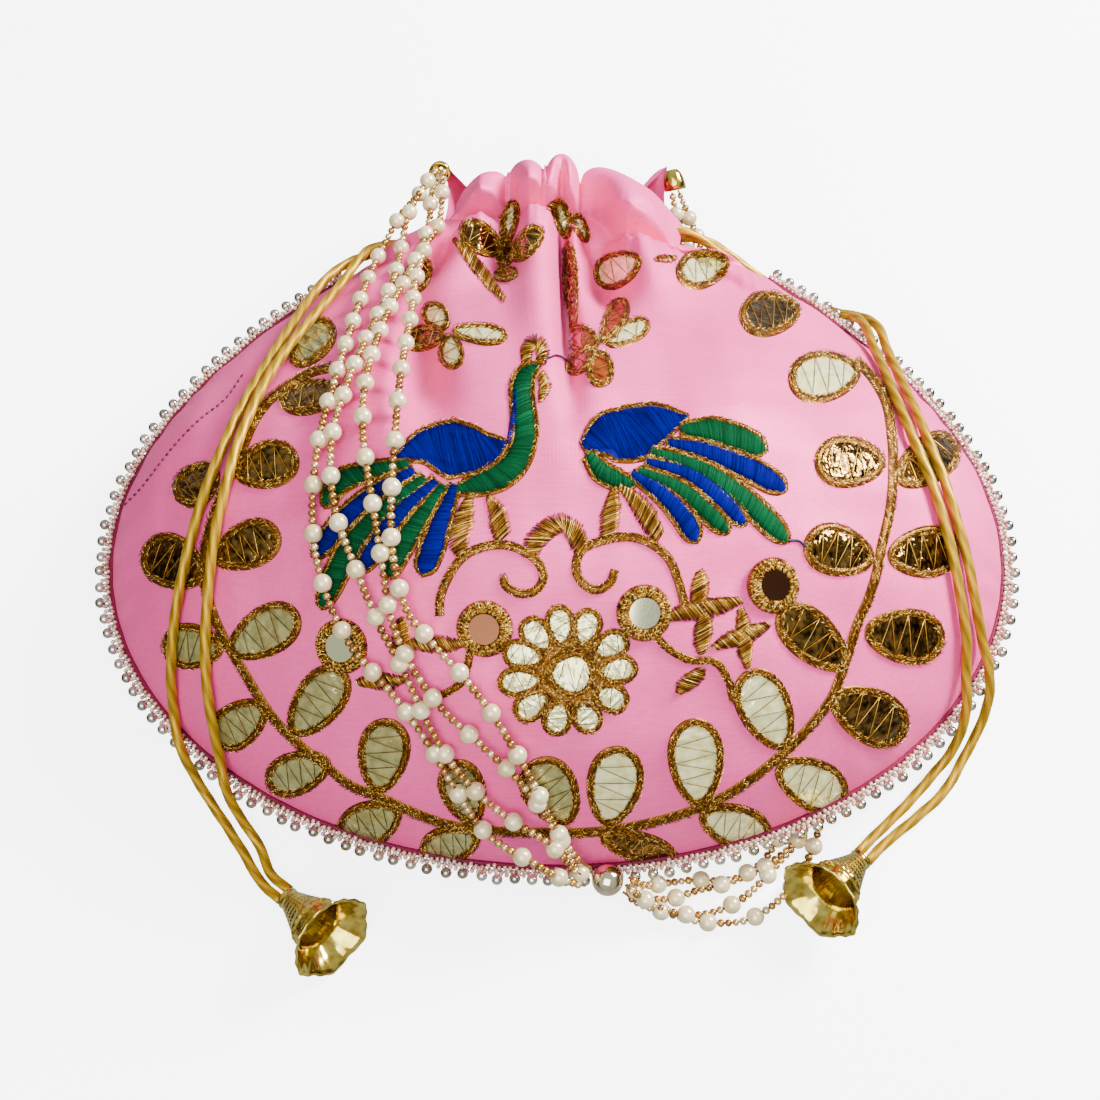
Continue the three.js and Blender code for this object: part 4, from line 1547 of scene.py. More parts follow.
@dataclass
class BeadEdging:
    """Silver balls with four rows of small rose beads and rolled piping, sewn along the seam."""

    finishes: Finishes
    end_y: float = 101.0
    pitch: float = 4.6
    ball_radius: float = 1.55
    ball_offset: float = 4.0
    piping_radius: float = 1.0
    piping_offset: float = 0.4
    seed_radius: float = 0.72
    uneven_step: float = 0.06
    uneven_offset: float = 0.18
    # Rows of small beads: start along the seam, distance out from it, height
    seed_rows: tuple = ((0.0, 1.4, 0.9), (0.8, 2.3, 0.7), (0.4, 1.9, -0.5), (0.6, 2.9, 0.2))

    def build(self) -> None:
        """Makes the rows in place of the plain CAD tube."""
        line, out = FORM.edge_route(self.end_y, 1200)
        distance = lengths_along(line)
        random = np.random.default_rng(5)

        def row(step: float, shift: float, offset: float, height: float) -> tuple[Array, Array]:
            """Places and threading directions of one row of beads.

            Args:
                step: distance from bead to bead.
                shift: where the row starts.
                offset: distance out from the seam.
                height: distance above it.
            Returns:
                Places and directions, (n, 3).
            """
            where = np.arange(shift, distance[-1], step)
            where = where + random.normal(0, self.uneven_step * step, len(where))
            spot = read_along(where, distance, line)
            lead = unit(read_along(where, distance, out))
            wobble = random.normal(0, self.uneven_offset, (len(where), 1))
            above = np.array([0.0, 0.0, height])
            return spot + lead * (offset + wobble) + above, np.cross(lead, [0.0, 0.0, 1.0])

        balls = MeshParts()
        spots, leads = row(self.pitch, 1.0, self.ball_offset, 0.0)
        add_beads(balls, round_bead(12, 8), spots, leads, self.ball_radius, 1.0,
                  random.uniform(0.2, 1.0, len(spots)))
        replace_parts(balls.build("edging_silver_balls", self.finishes.silver, Slot.EDGING), "bead_edging")
        seeds = MeshParts()
        for shift, offset, height in self.seed_rows:
            spots, leads = row(self.pitch / 3, shift, offset, height)
            add_beads(seeds, round_bead(6, 4), spots, leads, self.seed_radius, 0.9,
                      random.uniform(0.0, 1.0, len(spots)))
        seeds.build("edging_rose_seeds", self.finishes.rose_seed, Slot.EDGING)
        # The piping's dark crimson is partly painted shade along the seam
        rolled = resample(line + out * self.piping_offset, 360)
        up = np.broadcast_to(np.array([0.0, 0.0, 1.0]), rolled.shape)
        piping = MeshParts()
        piping.add(*tubes(rolled[None], up[None], self.piping_radius, sides=8))
        piping.build("seam_piping", self.finishes.piping, Slot.SATIN)


# Embroidery

@dataclass
class Stitching:
    """Lays thread, foil and borders on the front panel, by points of the photograph."""

    sight: PhotoSight
    random: np.random.Generator = field(default_factory=lambda: np.random.default_rng(11))
    end_taper: float = 0.55
    link_length: float = 1.3
    link_arch: float = 0.22
    link_uneven: float = 0.1
    edge_drop: float = 0.45

    def stitches(self, parts: MeshParts, ends_a: Array, ends_b: Array, radius: float, arch: float,
                 lift: float = 0.1, tones: Array | None = None, points: int = 5) -> None:
        """Separate stitches between two rows of pixels, each arched over what lies under it.

        Args:
            parts: where the thread goes.
            ends_a: pixels where the stitches start, (n, 2).
            ends_b: pixels where they end.
            radius: thread radius in millimetres.
            arch: height of the middle of a stitch.
            lift: height of its ends.
            tones: tone of each stitch, random by default.
            points: points along a stitch.
        """
        t = np.linspace(0, 1, points)
        pixels = ends_a[:, None] + (ends_b - ends_a)[:, None] * t[:, None]
        spots, normals = self.sight.on_cloth(pixels)
        height = lift + arch * (4 * t * (1 - t)) ** 0.6
        lines = spots + normals * height[:, None]
        taper = np.where((t == 0) | (t == 1), self.end_taper, 1.0)
        if tones is None:
            tones = self.random.uniform(0.0, 1.0, len(ends_a))
        vertices, faces = tubes(lines, normals, radius * taper)
        parts.add(vertices, faces, np.repeat(tones, points * THREAD_SIDES))

    def band(self, parts: MeshParts, path: Pixels, half: Floats | tuple, pitch: float, radius: float,
             arch: float, slant: float = 0.0, jitter: float = 0.12, lift: float = 0.1,
             tone_span: tuple[float, float] = (0.0, 1.0)) -> None:
        """A row of stitches across a path of pixels.

        Args:
            parts: where the thread goes.
            path: chosen pixels, in order.
            half: half the band's width in pixels, one number or one for each chosen point.
            pitch: pixels from stitch to stitch.
            radius: thread radius in millimetres.
            arch: height of the middle of a stitch.
            slant: lean of the stitches along the path, as a share of their half width.
            jitter: how uneven the stitches are, as a share of their half width.
            lift: height of their ends.
            tone_span: lowest and highest tone.
        """
        line = spline(np.asarray(path, float), 240)
        total = lengths_along(line)[-1]
        count = max(int(total / pitch), 3)
        line = resample(line, count)
        along, across = along_and_across(line)
        half = np.atleast_1d(np.asarray(half, float))
        known = max(len(half), 2)
        width = np.interp(np.linspace(0, 1, count), np.linspace(0, 1, known), np.resize(half, known))
        width = width * (1 + self.random.normal(0, jitter, count))
        lean = along * (width * (slant + self.random.normal(0, jitter, count)))[:, None]
        reach = across * width[:, None]
        tones = self.random.uniform(*tone_span, count)
        self.stitches(parts, line - reach - lean, line + reach + lean, radius, arch, lift, tones)

    def ribbon(self, parts: MeshParts, line: Array, half: Floats, height: float,
               tone: float = 0.2) -> None:
        """A domed strip of padding thread along a dense line of pixels, of even or changing half width.

        Args:
            parts: where the mesh goes.
            line: pixels at even steps.
            half: half width in pixels.
            height: height of the middle.
            tone: tone of the thread.
        """
        half = np.broadcast_to(np.asarray(half, float), (len(line),))[:, None, None]
        _, across = along_and_across(line)
        share = np.array([-1.0, -0.7, 0.0, 0.7, 1.0])
        rise = np.array([0.0, 0.75, 1.0, 0.75, 0.0]) * height
        spots, normals = self.sight.on_cloth(line[:, None] + half * share[:, None] * across[:, None])
        parts.add(spots + normals * rise[:, None], [lattice_faces(len(line), len(share))], tone)

    def chain(self, parts: MeshParts, path: Pixels, half: float, rows: int, closed: bool = False,
              step: float = 2.9, radius: float = 0.155, height: float = 0.5) -> None:
        """Rows of chain stitch over a padded strip: pairs of short stitches that lean in to each other.

        Args:
            parts: where the thread goes.
            path: chosen pixels, in order.
            half: half the width of all rows, in pixels.
            rows: rows side by side.
            closed: whether the path joins up.
            step: pixels from link to link.
            radius: thread radius in millimetres.
            height: height of the padding.
        """
        chosen = np.asarray(path, float)
        dense = resample(np.concatenate([chosen, chosen[:1]]), 200) if closed else spline(chosen, 200)
        total = lengths_along(dense)[-1]
        self.ribbon(parts, resample(dense, max(int(total / 4), 4)), half, height)
        line = resample(dense, max(int(total / step), 3))
        along, across = along_and_across(line)
        lean = half / rows
        uneven = self.link_uneven * step
        for row in range(rows):
            offset = (2 * row + 1) / rows - 1
            middle = line + across * (offset * half) + self.random.normal(0, uneven, line.shape)
            tip = middle + along * (self.link_length * step)
            lift = height * (1 - self.edge_drop * offset**2)
            for side in (-1, 1):
                start = middle + side * lean * across + self.random.normal(0, uneven, line.shape)
                self.stitches(parts, start, tip, radius, self.link_arch, lift, points=3)

    def line(self, parts: MeshParts, path: Pixels, radius: float, lift: float) -> None:
        """One continuous thread along a path of pixels.

        Args:
            parts: where the mesh goes.
            path: chosen pixels, in order.
            radius: thread radius in millimetres.
            lift: height above the cloth.
        """
        spots, normals = self.sight.on_cloth(spline(path, 40))
        vertices, faces = tubes((spots + normals * lift)[None], normals[None], radius)
        parts.add(vertices, faces, self.random.uniform(0, 1))


class Facing(Enum):
    """Which painted reflection a leaf's foil gets: its colour stands for what it reflects."""

    LIGHT = "pale"
    DARK = "dark"
    # copper is a painted reflection of the pink folds round the florets
    FOLDS = "copper"


@dataclass(frozen=True)
class Leaf:
    """A foil leaf: an egg outline from its narrow end at the vine to its blunt end, in pixels."""

    narrow: tuple[float, float]
    blunt: tuple[float, float]
    width: float
    facing: Facing = Facing.LIGHT
    bluntness: float = 0.2

    def spread(self, inset: float, angle: Array, share: Floats = 1.0) -> Array:
        """Pixels of the egg, set in from its edge, by angle from the blunt end and share of the width.

        Args:
            inset: pixels in from the edge.
            angle: turn from the blunt end.
            share: share of the width.
        Returns:
            The pixels.
        """
        a, b = np.array(self.narrow, float), np.array(self.blunt, float)
        along = (b - a) / 2
        length = np.linalg.norm(along)
        along = along / length
        across = np.array([-along[1], along[0]])
        far = (length - inset) * np.cos(angle)
        wide = (self.width / 2 - inset) * np.sin(angle) * (1 + self.bluntness * np.cos(angle)) * share
        return (a + b) / 2 + np.stack([far * along[k] + wide * across[k] for k in (0, 1)], axis=-1)

    def outline(self, inset: float, count: int = 48) -> Array:
        """The egg's outline, set in by a number of pixels."""
        return self.spread(inset, 2 * np.pi * np.arange(count) / count)


def leaf_rows(*rows: tuple) -> tuple[Leaf, ...]:
    """Leaves from rows of narrow end, blunt end, width and, where it isn't light, facing."""
    return tuple(Leaf((a, b), (c, d), *rest) for a, b, c, d, *rest in rows)


# DARK and FOLDS pick a leaf's painted reflection: dark, or copper-pink from the folds; the rest get the
# bright one
DARK, FOLDS = Facing.DARK, Facing.FOLDS
LEFT_LEAVES = leaf_rows(
    (293, 366, 331, 320, 38), (344, 391, 279, 402, 36, DARK), (233, 474, 299, 457, 48, DARK),
    (217, 466, 178, 502, 42, DARK), (214, 561, 280, 531, 48, DARK), (204, 580, 144, 546, 54, DARK),
    (230, 653, 299, 612, 50), (224, 650, 162, 643, 46), (266, 704, 214, 743, 46), (293, 735, 343, 668, 50),
    (331, 761, 266, 784, 44), (378, 793, 389, 718, 52), (401, 809, 339, 839, 48), (475, 823, 452, 760, 46),
    (481, 835, 420, 854, 40), (571, 823, 532, 760, 56),
)
RIGHT_LEAVES = leaf_rows(
    (730, 261, 676, 276, 40), (801, 309, 739, 318, 46, DARK), (861, 371, 788, 382, 52),
    (886, 463, 814, 461, 52, DARK), (874, 561, 804, 541, 52, DARK), (846, 668, 780, 608, 50, DARK),
    (784, 749, 747, 670, 54), (698, 806, 694, 718, 56), (606, 826, 622, 746, 56),
    (897, 483, 957, 439, 48, DARK), (887, 557, 959, 548, 52, DARK), (864, 631, 945, 641, 56, DARK),
    (831, 696, 907, 734, 56, DARK), (776, 766, 846, 801, 52), (699, 814, 771, 839, 46),
    (599, 835, 677, 859, 32, DARK),
)
NECK_LEAVES = leaf_rows(
    (641, 257, 595, 281, 36), (500, 254, 462, 224, 32, DARK), (506, 244, 514, 199, 18),
    (520, 272, 493, 276, 16, DARK), (500, 268, 513, 240, 20, DARK), (513, 262, 541, 226, 24, DARK),
    (568, 240, 557, 198, 19), (588, 243, 573, 212, 16), (573, 332, 569, 242, 15, DARK),
    (428, 258, 408, 292, 28, DARK),
)
FLORET_LEAVES = leaf_rows(
    (447, 330, 427, 304, 26), (446, 334, 403, 342, 26, DARK), (450, 334, 453, 370, 26),
    (452, 331, 508, 337, 22), (603, 345, 625, 298, 24, FOLDS), (605, 345, 650, 322, 24),
    (600, 345, 566, 334, 28, FOLDS), (601, 350, 600, 388, 28, FOLDS), (598, 350, 566, 372, 22, FOLDS),
)

LEFT_VINE = [(345, 365), (310, 373), (290, 385), (270, 400), (255, 420), (243, 447), (230, 475), (216, 510),
             (206, 545), (204, 578), (212, 610), (225, 640), (240, 665), (258, 695), (275, 720), (300, 745),
             (325, 765), (350, 785), (380, 797), (420, 815), (450, 825), (500, 831), (560, 833)]
RIGHT_VINE = [(855, 360), (870, 375), (885, 400), (891, 430), (893, 470), (890, 510), (882, 545), (876, 575),
              (868, 600), (857, 625), (846, 660), (830, 700), (802, 735), (775, 760), (730, 793), (690, 811),
              (640, 825), (590, 832), (560, 833)]

FLOWER_MIDDLE = ((547, 674), (595, 674))
FLOWER_PETALS = (
    ((563, 648), (558, 604)), ((581, 648), (592, 608)), ((593, 656), (628, 636)), ((596, 672), (638, 667)),
    ((593, 689), (628, 706)), ((579, 699), (594, 733)), ((562, 699), (553, 736)), ((549, 693), (515, 717)),
    ((543, 679), (497, 684)), ((545, 660), (502, 650)), ((551, 651), (523, 619)),
)

SCROLLS = (
    [(440, 616), (440, 600), (447, 580), (462, 558), (480, 548), (505, 545), (525, 552), (540, 565),
     (543, 580), (533, 592), (518, 593), (505, 585), (503, 577)],
    [(615, 570), (610, 583), (595, 590), (580, 580), (576, 565), (582, 550), (605, 540), (630, 537),
     (650, 543), (668, 558), (678, 580), (684, 603)],
)
HUMP = [(530, 556), (540, 536), (553, 526), (562, 524), (574, 533), (585, 552)]
SPRIG_BARS = (
    ([(699, 571), (700, 608)], 9), ([(664, 618), (740, 600)], 9), ([(703, 610), (703, 653)], 9),
    ([(740, 608), (748, 667)], 8), ([(714, 648), (768, 624)], 8), ([(702, 668), (679, 693)], 8),
    ([(400, 618), (402, 656)], 8), ([(406, 645), (464, 643)], 8), ([(358, 683), (404, 679)], 8),
)
SPRIG_STEMS = ([(655, 635), (670, 650), (690, 660), (715, 662), (728, 680), (733, 700)],
               [(470, 652), (467, 668), (460, 684), (438, 697)])
FEET = (
    ([(470, 496), (464, 512), (460, 535), (462, 554)], (3, 9, 12, 5)),
    ([(488, 497), (497, 515), (504, 538)], (3, 10, 8)),
    ([(614, 487), (611, 508), (609, 534)], (3, 9, 8)),
    ([(620, 486), (634, 500), (648, 518), (660, 537)], (3, 8, 10, 6)),
)
NECK_BARS = (
    ([(455, 240), (478, 268), (505, 300)], 6), ([(655, 260), (676, 258)], 4), ([(548, 210), (560, 199)], 4),
    ([(500, 215), (503, 240), (497, 262)], 3),
)
RIM_STITCHES = [(243, 375), (225, 400), (200, 420), (180, 440), (165, 458), (152, 475), (140, 490),
                (125, 505)]


@dataclass(frozen=True)
class Feather:
    """A tail feather or another tapering shape filled with satin stitch, in pixels."""

    path: Pixels
    half: tuple[float, ...]
    blue: bool

    def profile(self, count: int) -> Array:
        """Half widths along the shape, rounded off at its tip.

        Args:
            count: how many.
        Returns:
            The half widths in pixels.
        """
        t = np.linspace(0, 1, count)
        width = np.interp(t, np.linspace(0, 1, len(self.half)), self.half)
        tip = np.clip((t - 0.84) / 0.16, 0.0, 1.0)
        return width * np.sqrt(1 - 0.97 * tip**2)


PEACOCK_SHAPES = (
    Feather([(398, 458), (425, 447), (455, 449), (485, 450), (505, 443)], (1, 15, 27, 20, 6), True),
    Feather([(458, 490), (490, 480), (511, 467), (522, 448), (525, 430), (523, 408), (522, 388), (528, 372),
             (537, 367)],
            (3, 9, 12, 11, 10, 10, 9, 9, 6), False),
    Feather([(408, 464), (370, 471), (341, 482), (325, 505)], (4, 6, 9, 6), False),
    Feather([(413, 471), (375, 492), (345, 519), (315, 556)], (4, 6, 9, 7), True),
    Feather([(424, 479), (385, 508), (350, 548), (322, 606)], (4, 7, 10, 8), False),
    Feather([(436, 482), (400, 512), (376, 545), (362, 570)], (4, 7, 9, 7), True),
    Feather([(443, 486), (415, 525), (399, 552), (388, 576)], (4, 7, 9, 7), False),
    Feather([(455, 486), (443, 515), (433, 545), (423, 573)], (4, 7, 10, 9), True),
    Feather([(584, 448), (605, 437), (630, 434), (655, 424), (686, 417)], (4, 22, 26, 17, 2), True),
    Feather([(589, 455), (602, 472), (618, 480), (634, 484)], (4, 8, 8, 3), False),
    Feather([(682, 430), (712, 431), (742, 441), (764, 450)], (4, 11, 12, 9), False),
    Feather([(668, 443), (705, 451), (745, 467), (784, 489)], (3, 8, 10, 9), True),
    Feather([(652, 452), (700, 468), (745, 500), (786, 540)], (3, 7, 9, 9), False),
    Feather([(647, 462), (690, 475), (722, 500), (744, 523)], (3, 6, 8, 7), True),
    Feather([(639, 471), (675, 486), (705, 510), (727, 531)], (3, 6, 8, 7), False),
    Feather([(632, 474), (660, 492), (682, 515), (696, 540)], (3, 7, 9, 8), True),
)
CREST = ([(527, 365), (528, 350), (536, 342), (543, 352), (541, 366)], (4, 6, 7, 6, 4))
WATTLE = ([(541, 374), (545, 388), (541, 402)], (4, 6, 2))
NECK_SHADE = ([(509, 444), (514, 415), (516, 392)], (2, 4, 2))
BEAK_THREAD = [(543, 362), (556, 356), (566, 362)]
TAIL_THREAD = [(788, 541), (798, 541), (806, 547)]


@dataclass
class Embroidery:
    """Everything sewn on the front: vines, leaves, flower, peacocks, scrolls and florets."""

    sew: Stitching
    finishes: Finishes
    border_px: float = 8.5
    small_border_px: float = 6.5
    floret_border_px: float = 6.0
    vine_half_px: float = 5.0
    petal_width_px: float = 31.0
    middle_width_px: float = 46.0
    couching_mm: float = 0.12
    couching_lift: float = 0.6
    crease_depth: float = 0.45
    foil_dome: float = 0.2

    def foil(self, parts: MeshParts, leaf: Leaf, inset: float, turns: int) -> None:
        """A foil plate inside a leaf's border, creased where its couching threads press it down.

        Args:
            parts: where the mesh goes.
            leaf: the leaf.
            inset: pixels in from its edge.
            turns: turns of the couching.
        """
        angle = np.linspace(np.pi - 0.05, 0.05, 22)[:, None]
        share = np.linspace(-1, 1, 9)
        pixels = leaf.spread(inset, angle, share)
        spots, normals = self.sew.sight.on_cloth(pixels)
        place_along = (1 + np.cos(angle)) / 2 * (turns + 1)
        crease = np.abs((place_along + 0.5 * share * np.where(place_along % 2 < 1, 1, -1)) % 1 - 0.5)
        dome = 0.15 + self.foil_dome * np.sin(angle) * (1 - share**2) + self.crease_depth * crease
        dome = dome + self.sew.random.normal(0, 0.03, dome.shape)
        parts.add(spots + normals * dome[..., None], [lattice_faces(*dome.shape)])

    def couching(self, parts: MeshParts, leaf: Leaf, inset: float, turns: int) -> None:
        """Zig-zag threads that hold the foil down.

        Args:
            parts: where the mesh goes.
            leaf: the leaf.
            inset: pixels in from its edge.
            turns: turns of the zig-zag.
        """
        a, b = np.array(leaf.narrow, float), np.array(leaf.blunt, float)
        along = b - a
        length = np.linalg.norm(along)
        along = along / length
        across = np.array([-along[1], along[0]])
        t = np.linspace(0.2, 0.8, turns + 1)
        side = np.where(np.arange(turns + 1) % 2 == 0, 1.0, -1.0)
        reach = (leaf.width / 2 - inset + 1.5) * np.sin(np.pi * t) ** 0.5
        corners = a + (t * length)[:, None] * along + (side * reach)[:, None] * across
        # Painted light: the thread is lighter, as a painted highlight, on leaves with the dark painted
        # reflection, and darker, as painted shade, on the others
        low = 0.5 if leaf.facing is Facing.DARK else 0.0
        tones = low + self.sew.random.uniform(0.0, 0.35, turns)
        thread = self.couching_mm
        self.sew.stitches(parts, corners[:-1], corners[1:], thread, thread, self.couching_lift, tones)

    def leaves(self, name: str, leaves: tuple[Leaf, ...], border: float, turns: int,
               shaded: bool = False) -> None:
        """A group of foil leaves with zari borders and couching; the foil colours are painted reflections,
        with painted shade on the shaded side.

        Args:
            name: start of the pieces' names.
            leaves: the leaves, in order.
            border: width of the border in pixels.
            turns: turns of the couching.
            shaded: whether the pale foil takes its copy with painted shade.
        """
        thread = MeshParts()
        foils = {facing: MeshParts() for facing in Facing}
        for leaf in leaves:
            self.foil(foils[leaf.facing], leaf, border * 0.7, turns)
            self.sew.chain(thread, leaf.outline(border / 2), border / 2, 2, closed=True)
            self.couching(thread, leaf, border, turns)
        thread.build(f"{name}_zari", self.finishes.zari, Slot.GOLD)
        # Painted reflection: each leaf's foil takes the copy painted for what it reflects, and the shaded
        # copy on the shaded side
        pale = self.finishes.foil_painted_shaded_reflection if shaded else self.finishes.foil_painted_bright_reflection
        finishes = (pale, self.finishes.foil_painted_dark_reflection, self.finishes.foil_painted_pink_reflection)
        for (facing, parts), finish in zip(foils.items(), finishes):
            if parts.count:
                parts.build(f"{name}_foil_{facing.value}", finish, Slot.MIRROR, smooth=False)

    def vines(self) -> None:
        """The two stems, each of double chain stitch."""
        thread = MeshParts()
        for path in (LEFT_VINE, RIGHT_VINE):
            self.sew.chain(thread, path, self.vine_half_px, 2)
        thread.build("vines_zari", self.finishes.zari, Slot.GOLD)

    def flower(self) -> None:
        """The central flower: foil petals round an oval middle."""
        petals = [Leaf(foot, tip, self.petal_width_px) for foot, tip in FLOWER_PETALS]
        middle = Leaf(*FLOWER_MIDDLE, self.middle_width_px)
        self.leaves("flower", (*petals, middle), self.small_border_px, 3)
        ground = MeshParts()
        self.sew.chain(ground, middle.outline(-6.0), 7.0, 3, closed=True, height=0.4)
        ground.build("flower_ground_zari", self.finishes.zari, Slot.GOLD)

    def bars(self) -> None:
        """Scrolls, sprigs, feet and the gold bars at the neck, in close zari stitch."""
        thread = MeshParts()
        for path in SCROLLS:
            self.sew.chain(thread, path, 4.6, 2)
        for path in SPRIG_STEMS:
            self.sew.chain(thread, path, 4.0, 2)
        self.fill(thread, HUMP, (6, 10, 9, 9, 10, 6))
        for path, half in (*SPRIG_BARS, *NECK_BARS):
            self.fill(thread, resample(np.asarray(path, float), 4), (half * 0.4, half, half, half * 0.4))
        for path, half in (*FEET, CREST, WATTLE):
            self.fill(thread, path, half)
        thread.build("scrolls_and_sprigs_zari", self.finishes.zari, Slot.GOLD)

    def fill(self, thread: MeshParts, path: Pixels, half: tuple[float, ...]) -> None:
        """A padded shape filled with close zari stitches that lean both ways from its middle.

        Args:
            thread: where the thread goes.
            path: chosen pixels, in order.
            half: half width at each.
        """
        wide = 1.15 * np.asarray(half, float)
        self.sew.band(thread, path, wide, 1.3, 0.2, 0.4, 0.6, 0.06, tone_span=(0.0, 0.6))
        self.sew.band(thread, path, wide, 1.9, 0.16, 0.6, 0.5, 0.06)

    def peacocks(self) -> None:
        """Two peacocks in blue and green satin stitch, each shape outlined in zari."""
        blue, green, outline = MeshParts(), MeshParts(), MeshParts()
        count = 60
        for shape in PEACOCK_SHAPES:
            half = shape.profile(count)
            self.sew.band(blue if shape.blue else green, shape.path, half + 1.2, 1.0, 0.2, 0.7, 0.35, 0.03,
                          tone_span=(0.1, 1.0))
            line = spline(shape.path, count)
            self.sew.ribbon(blue if shape.blue else green, line, half + 1.0, 0.45, 0.4)
            along, across = along_and_across(line)
            reach = across * (half + 2.2)[:, None]
            tip = line[-1:] + along[-1:] * 2.5
            loop = np.concatenate([line + reach, tip, (line - reach)[::-1]])
            self.sew.chain(outline, loop, 2.4, 1, closed=True, height=0.35)
        self.sew.band(blue, *NECK_SHADE, 2.2, 0.2, 0.9, 0.6, 0.05)
        blue.build("peacock_blue_silk", self.finishes.blue_silk, Slot.CORD)
        green.build("peacock_green_silk", self.finishes.green_silk, Slot.CORD)
        outline.build("peacock_outline_zari", self.finishes.zari, Slot.GOLD)
        navy = MeshParts()
        self.sew.line(navy, BEAK_THREAD, 0.3, 0.5)
        self.sew.line(navy, TAIL_THREAD, 0.4, 0.4)
        navy.build("navy_threads", self.finishes.navy_thread, Slot.CORD)

    def rim_stitches(self) -> None:
        """The tacking line that shows near the upper left edge."""
        line = spline(RIM_STITCHES, 56)
        parts = MeshParts()
        self.sew.stitches(parts, line[:-1:2], line[1::2], 0.32, 0.25, 0.05)
        parts.build("rim_tacking", self.finishes.maroon_thread, Slot.CORD)


@dataclass
class Mirrors:
    """Round mirrors, each held by a ring of zari."""

    sew: Stitching
    finishes: Finishes
    radius: float = 4.1
    thickness: float = 0.9
    standoff: float = 1.1
    thread: float = 0.17
    bevel: float = 0.15
    segments: int = 48
    # Rounds of stitches: count, inner and outer radius, outer and inner height, lean
    rounds: tuple = (
        (70, 3.9, 5.2, 0.45, 0.5, 0.14), (70, 4.1, 5.4, 0.45, 0.5, -0.14),
        (80, 5.1, 6.4, 0.05, 0.45, 0.12), (80, 5.1, 6.4, 0.05, 0.45, -0.12),
        (88, 6.1, 7.2, -0.9, 0.1, 0.1), (88, 6.1, 7.2, -0.9, 0.1, -0.1),
    )
    # Section of the padding under the ring: radius and height
    pad: tuple = ((4.0, 0.0), (4.3, 0.45), (5.4, 0.5), (6.6, 0.0), (7.1, -0.9), (7.0, -1.6), (4.2, -1.6))
    # Nodes with their places, and whether their glass gets the painted dark reflection
    places: tuple = (
        ("mirror_left_outer", -55.5, -33.3, False),
        ("mirror_left_inner", -18.5, -31.8, True),
        ("mirror_right_inner", 21.7, -28.1, False),
        ("mirror_right_outer", 55.2, -19.3, True),
    )

    def build(self) -> None:
        """Discs in place of the CAD nodes, with their rings."""
        thread = MeshParts()
        for node, x, y, dark in self.places:
            slope_x, slope_y = FORM.front_slopes(x, y)
            normal = unit(np.array([-slope_x, -slope_y, 1.0]))
            seat = np.array([x, y, float(FORM.front_cad(x, y))]) + normal * self.standoff
            half = self.thickness / 2
            edge, segments = self.radius, self.segments
            rim = np.array([(edge, -half), (edge, half - self.bevel), (edge - self.bevel, half)])
            vertices, _ = revolve(rim, seat, normal, segments)
            sides = lattice_faces(len(rim), segments, wrap=True)[:, ::-1]
            caps = [np.arange(segments)[None], 2 * segments + np.arange(segments)[None, ::-1]]
            parts = MeshParts()
            parts.add(vertices, [sides, *caps])
            # The glass colour is a painted reflection, pale or dark
            finish = self.finishes.mirror_painted_dark_reflection if dark else self.finishes.mirror_painted_bright_reflection
            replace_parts(parts.build(f"{node}_glass", finish, Slot.MIRROR, smooth=False), node)
            self.ring(thread, seat, normal)
        thread.build("mirror_rings_zari", self.finishes.zari, Slot.GOLD)

    def ring(self, thread: MeshParts, seat: Array, normal: Array) -> None:
        """Blanket stitches that lap over the mirror's edge, over a couched outer round.

        Args:
            thread: where the thread goes.
            seat: the mirror's middle.
            normal: the way it faces.
        """
        side = unit(np.cross(normal, [0.0, 1.0, 0.0]))
        up = np.cross(normal, side)
        for count, inner, outer, low, high, lean in self.rounds:
            angle = 2 * np.pi * np.arange(count) / count + self.sew.random.normal(0, 0.03, count)
            t = np.linspace(0, 1, 4)
            radius = inner + (outer - inner) * t
            height = high + (low - high) * t**2 + 0.3 * np.sin(np.pi * t)
            turn = angle[:, None] + lean * t
            lines = seat + radius[:, None] * (np.cos(turn)[..., None] * side + np.sin(turn)[..., None] * up)
            lines = lines + height[:, None] * normal
            vertices, faces = tubes(lines, np.broadcast_to(normal, lines.shape), self.thread)
            thread.add(vertices, faces, np.repeat(self.sew.random.uniform(0, 1, count), 4 * THREAD_SIDES))
        thread.add(*revolve(np.array(self.pad), seat, normal, self.segments), 0.2)


# Studio

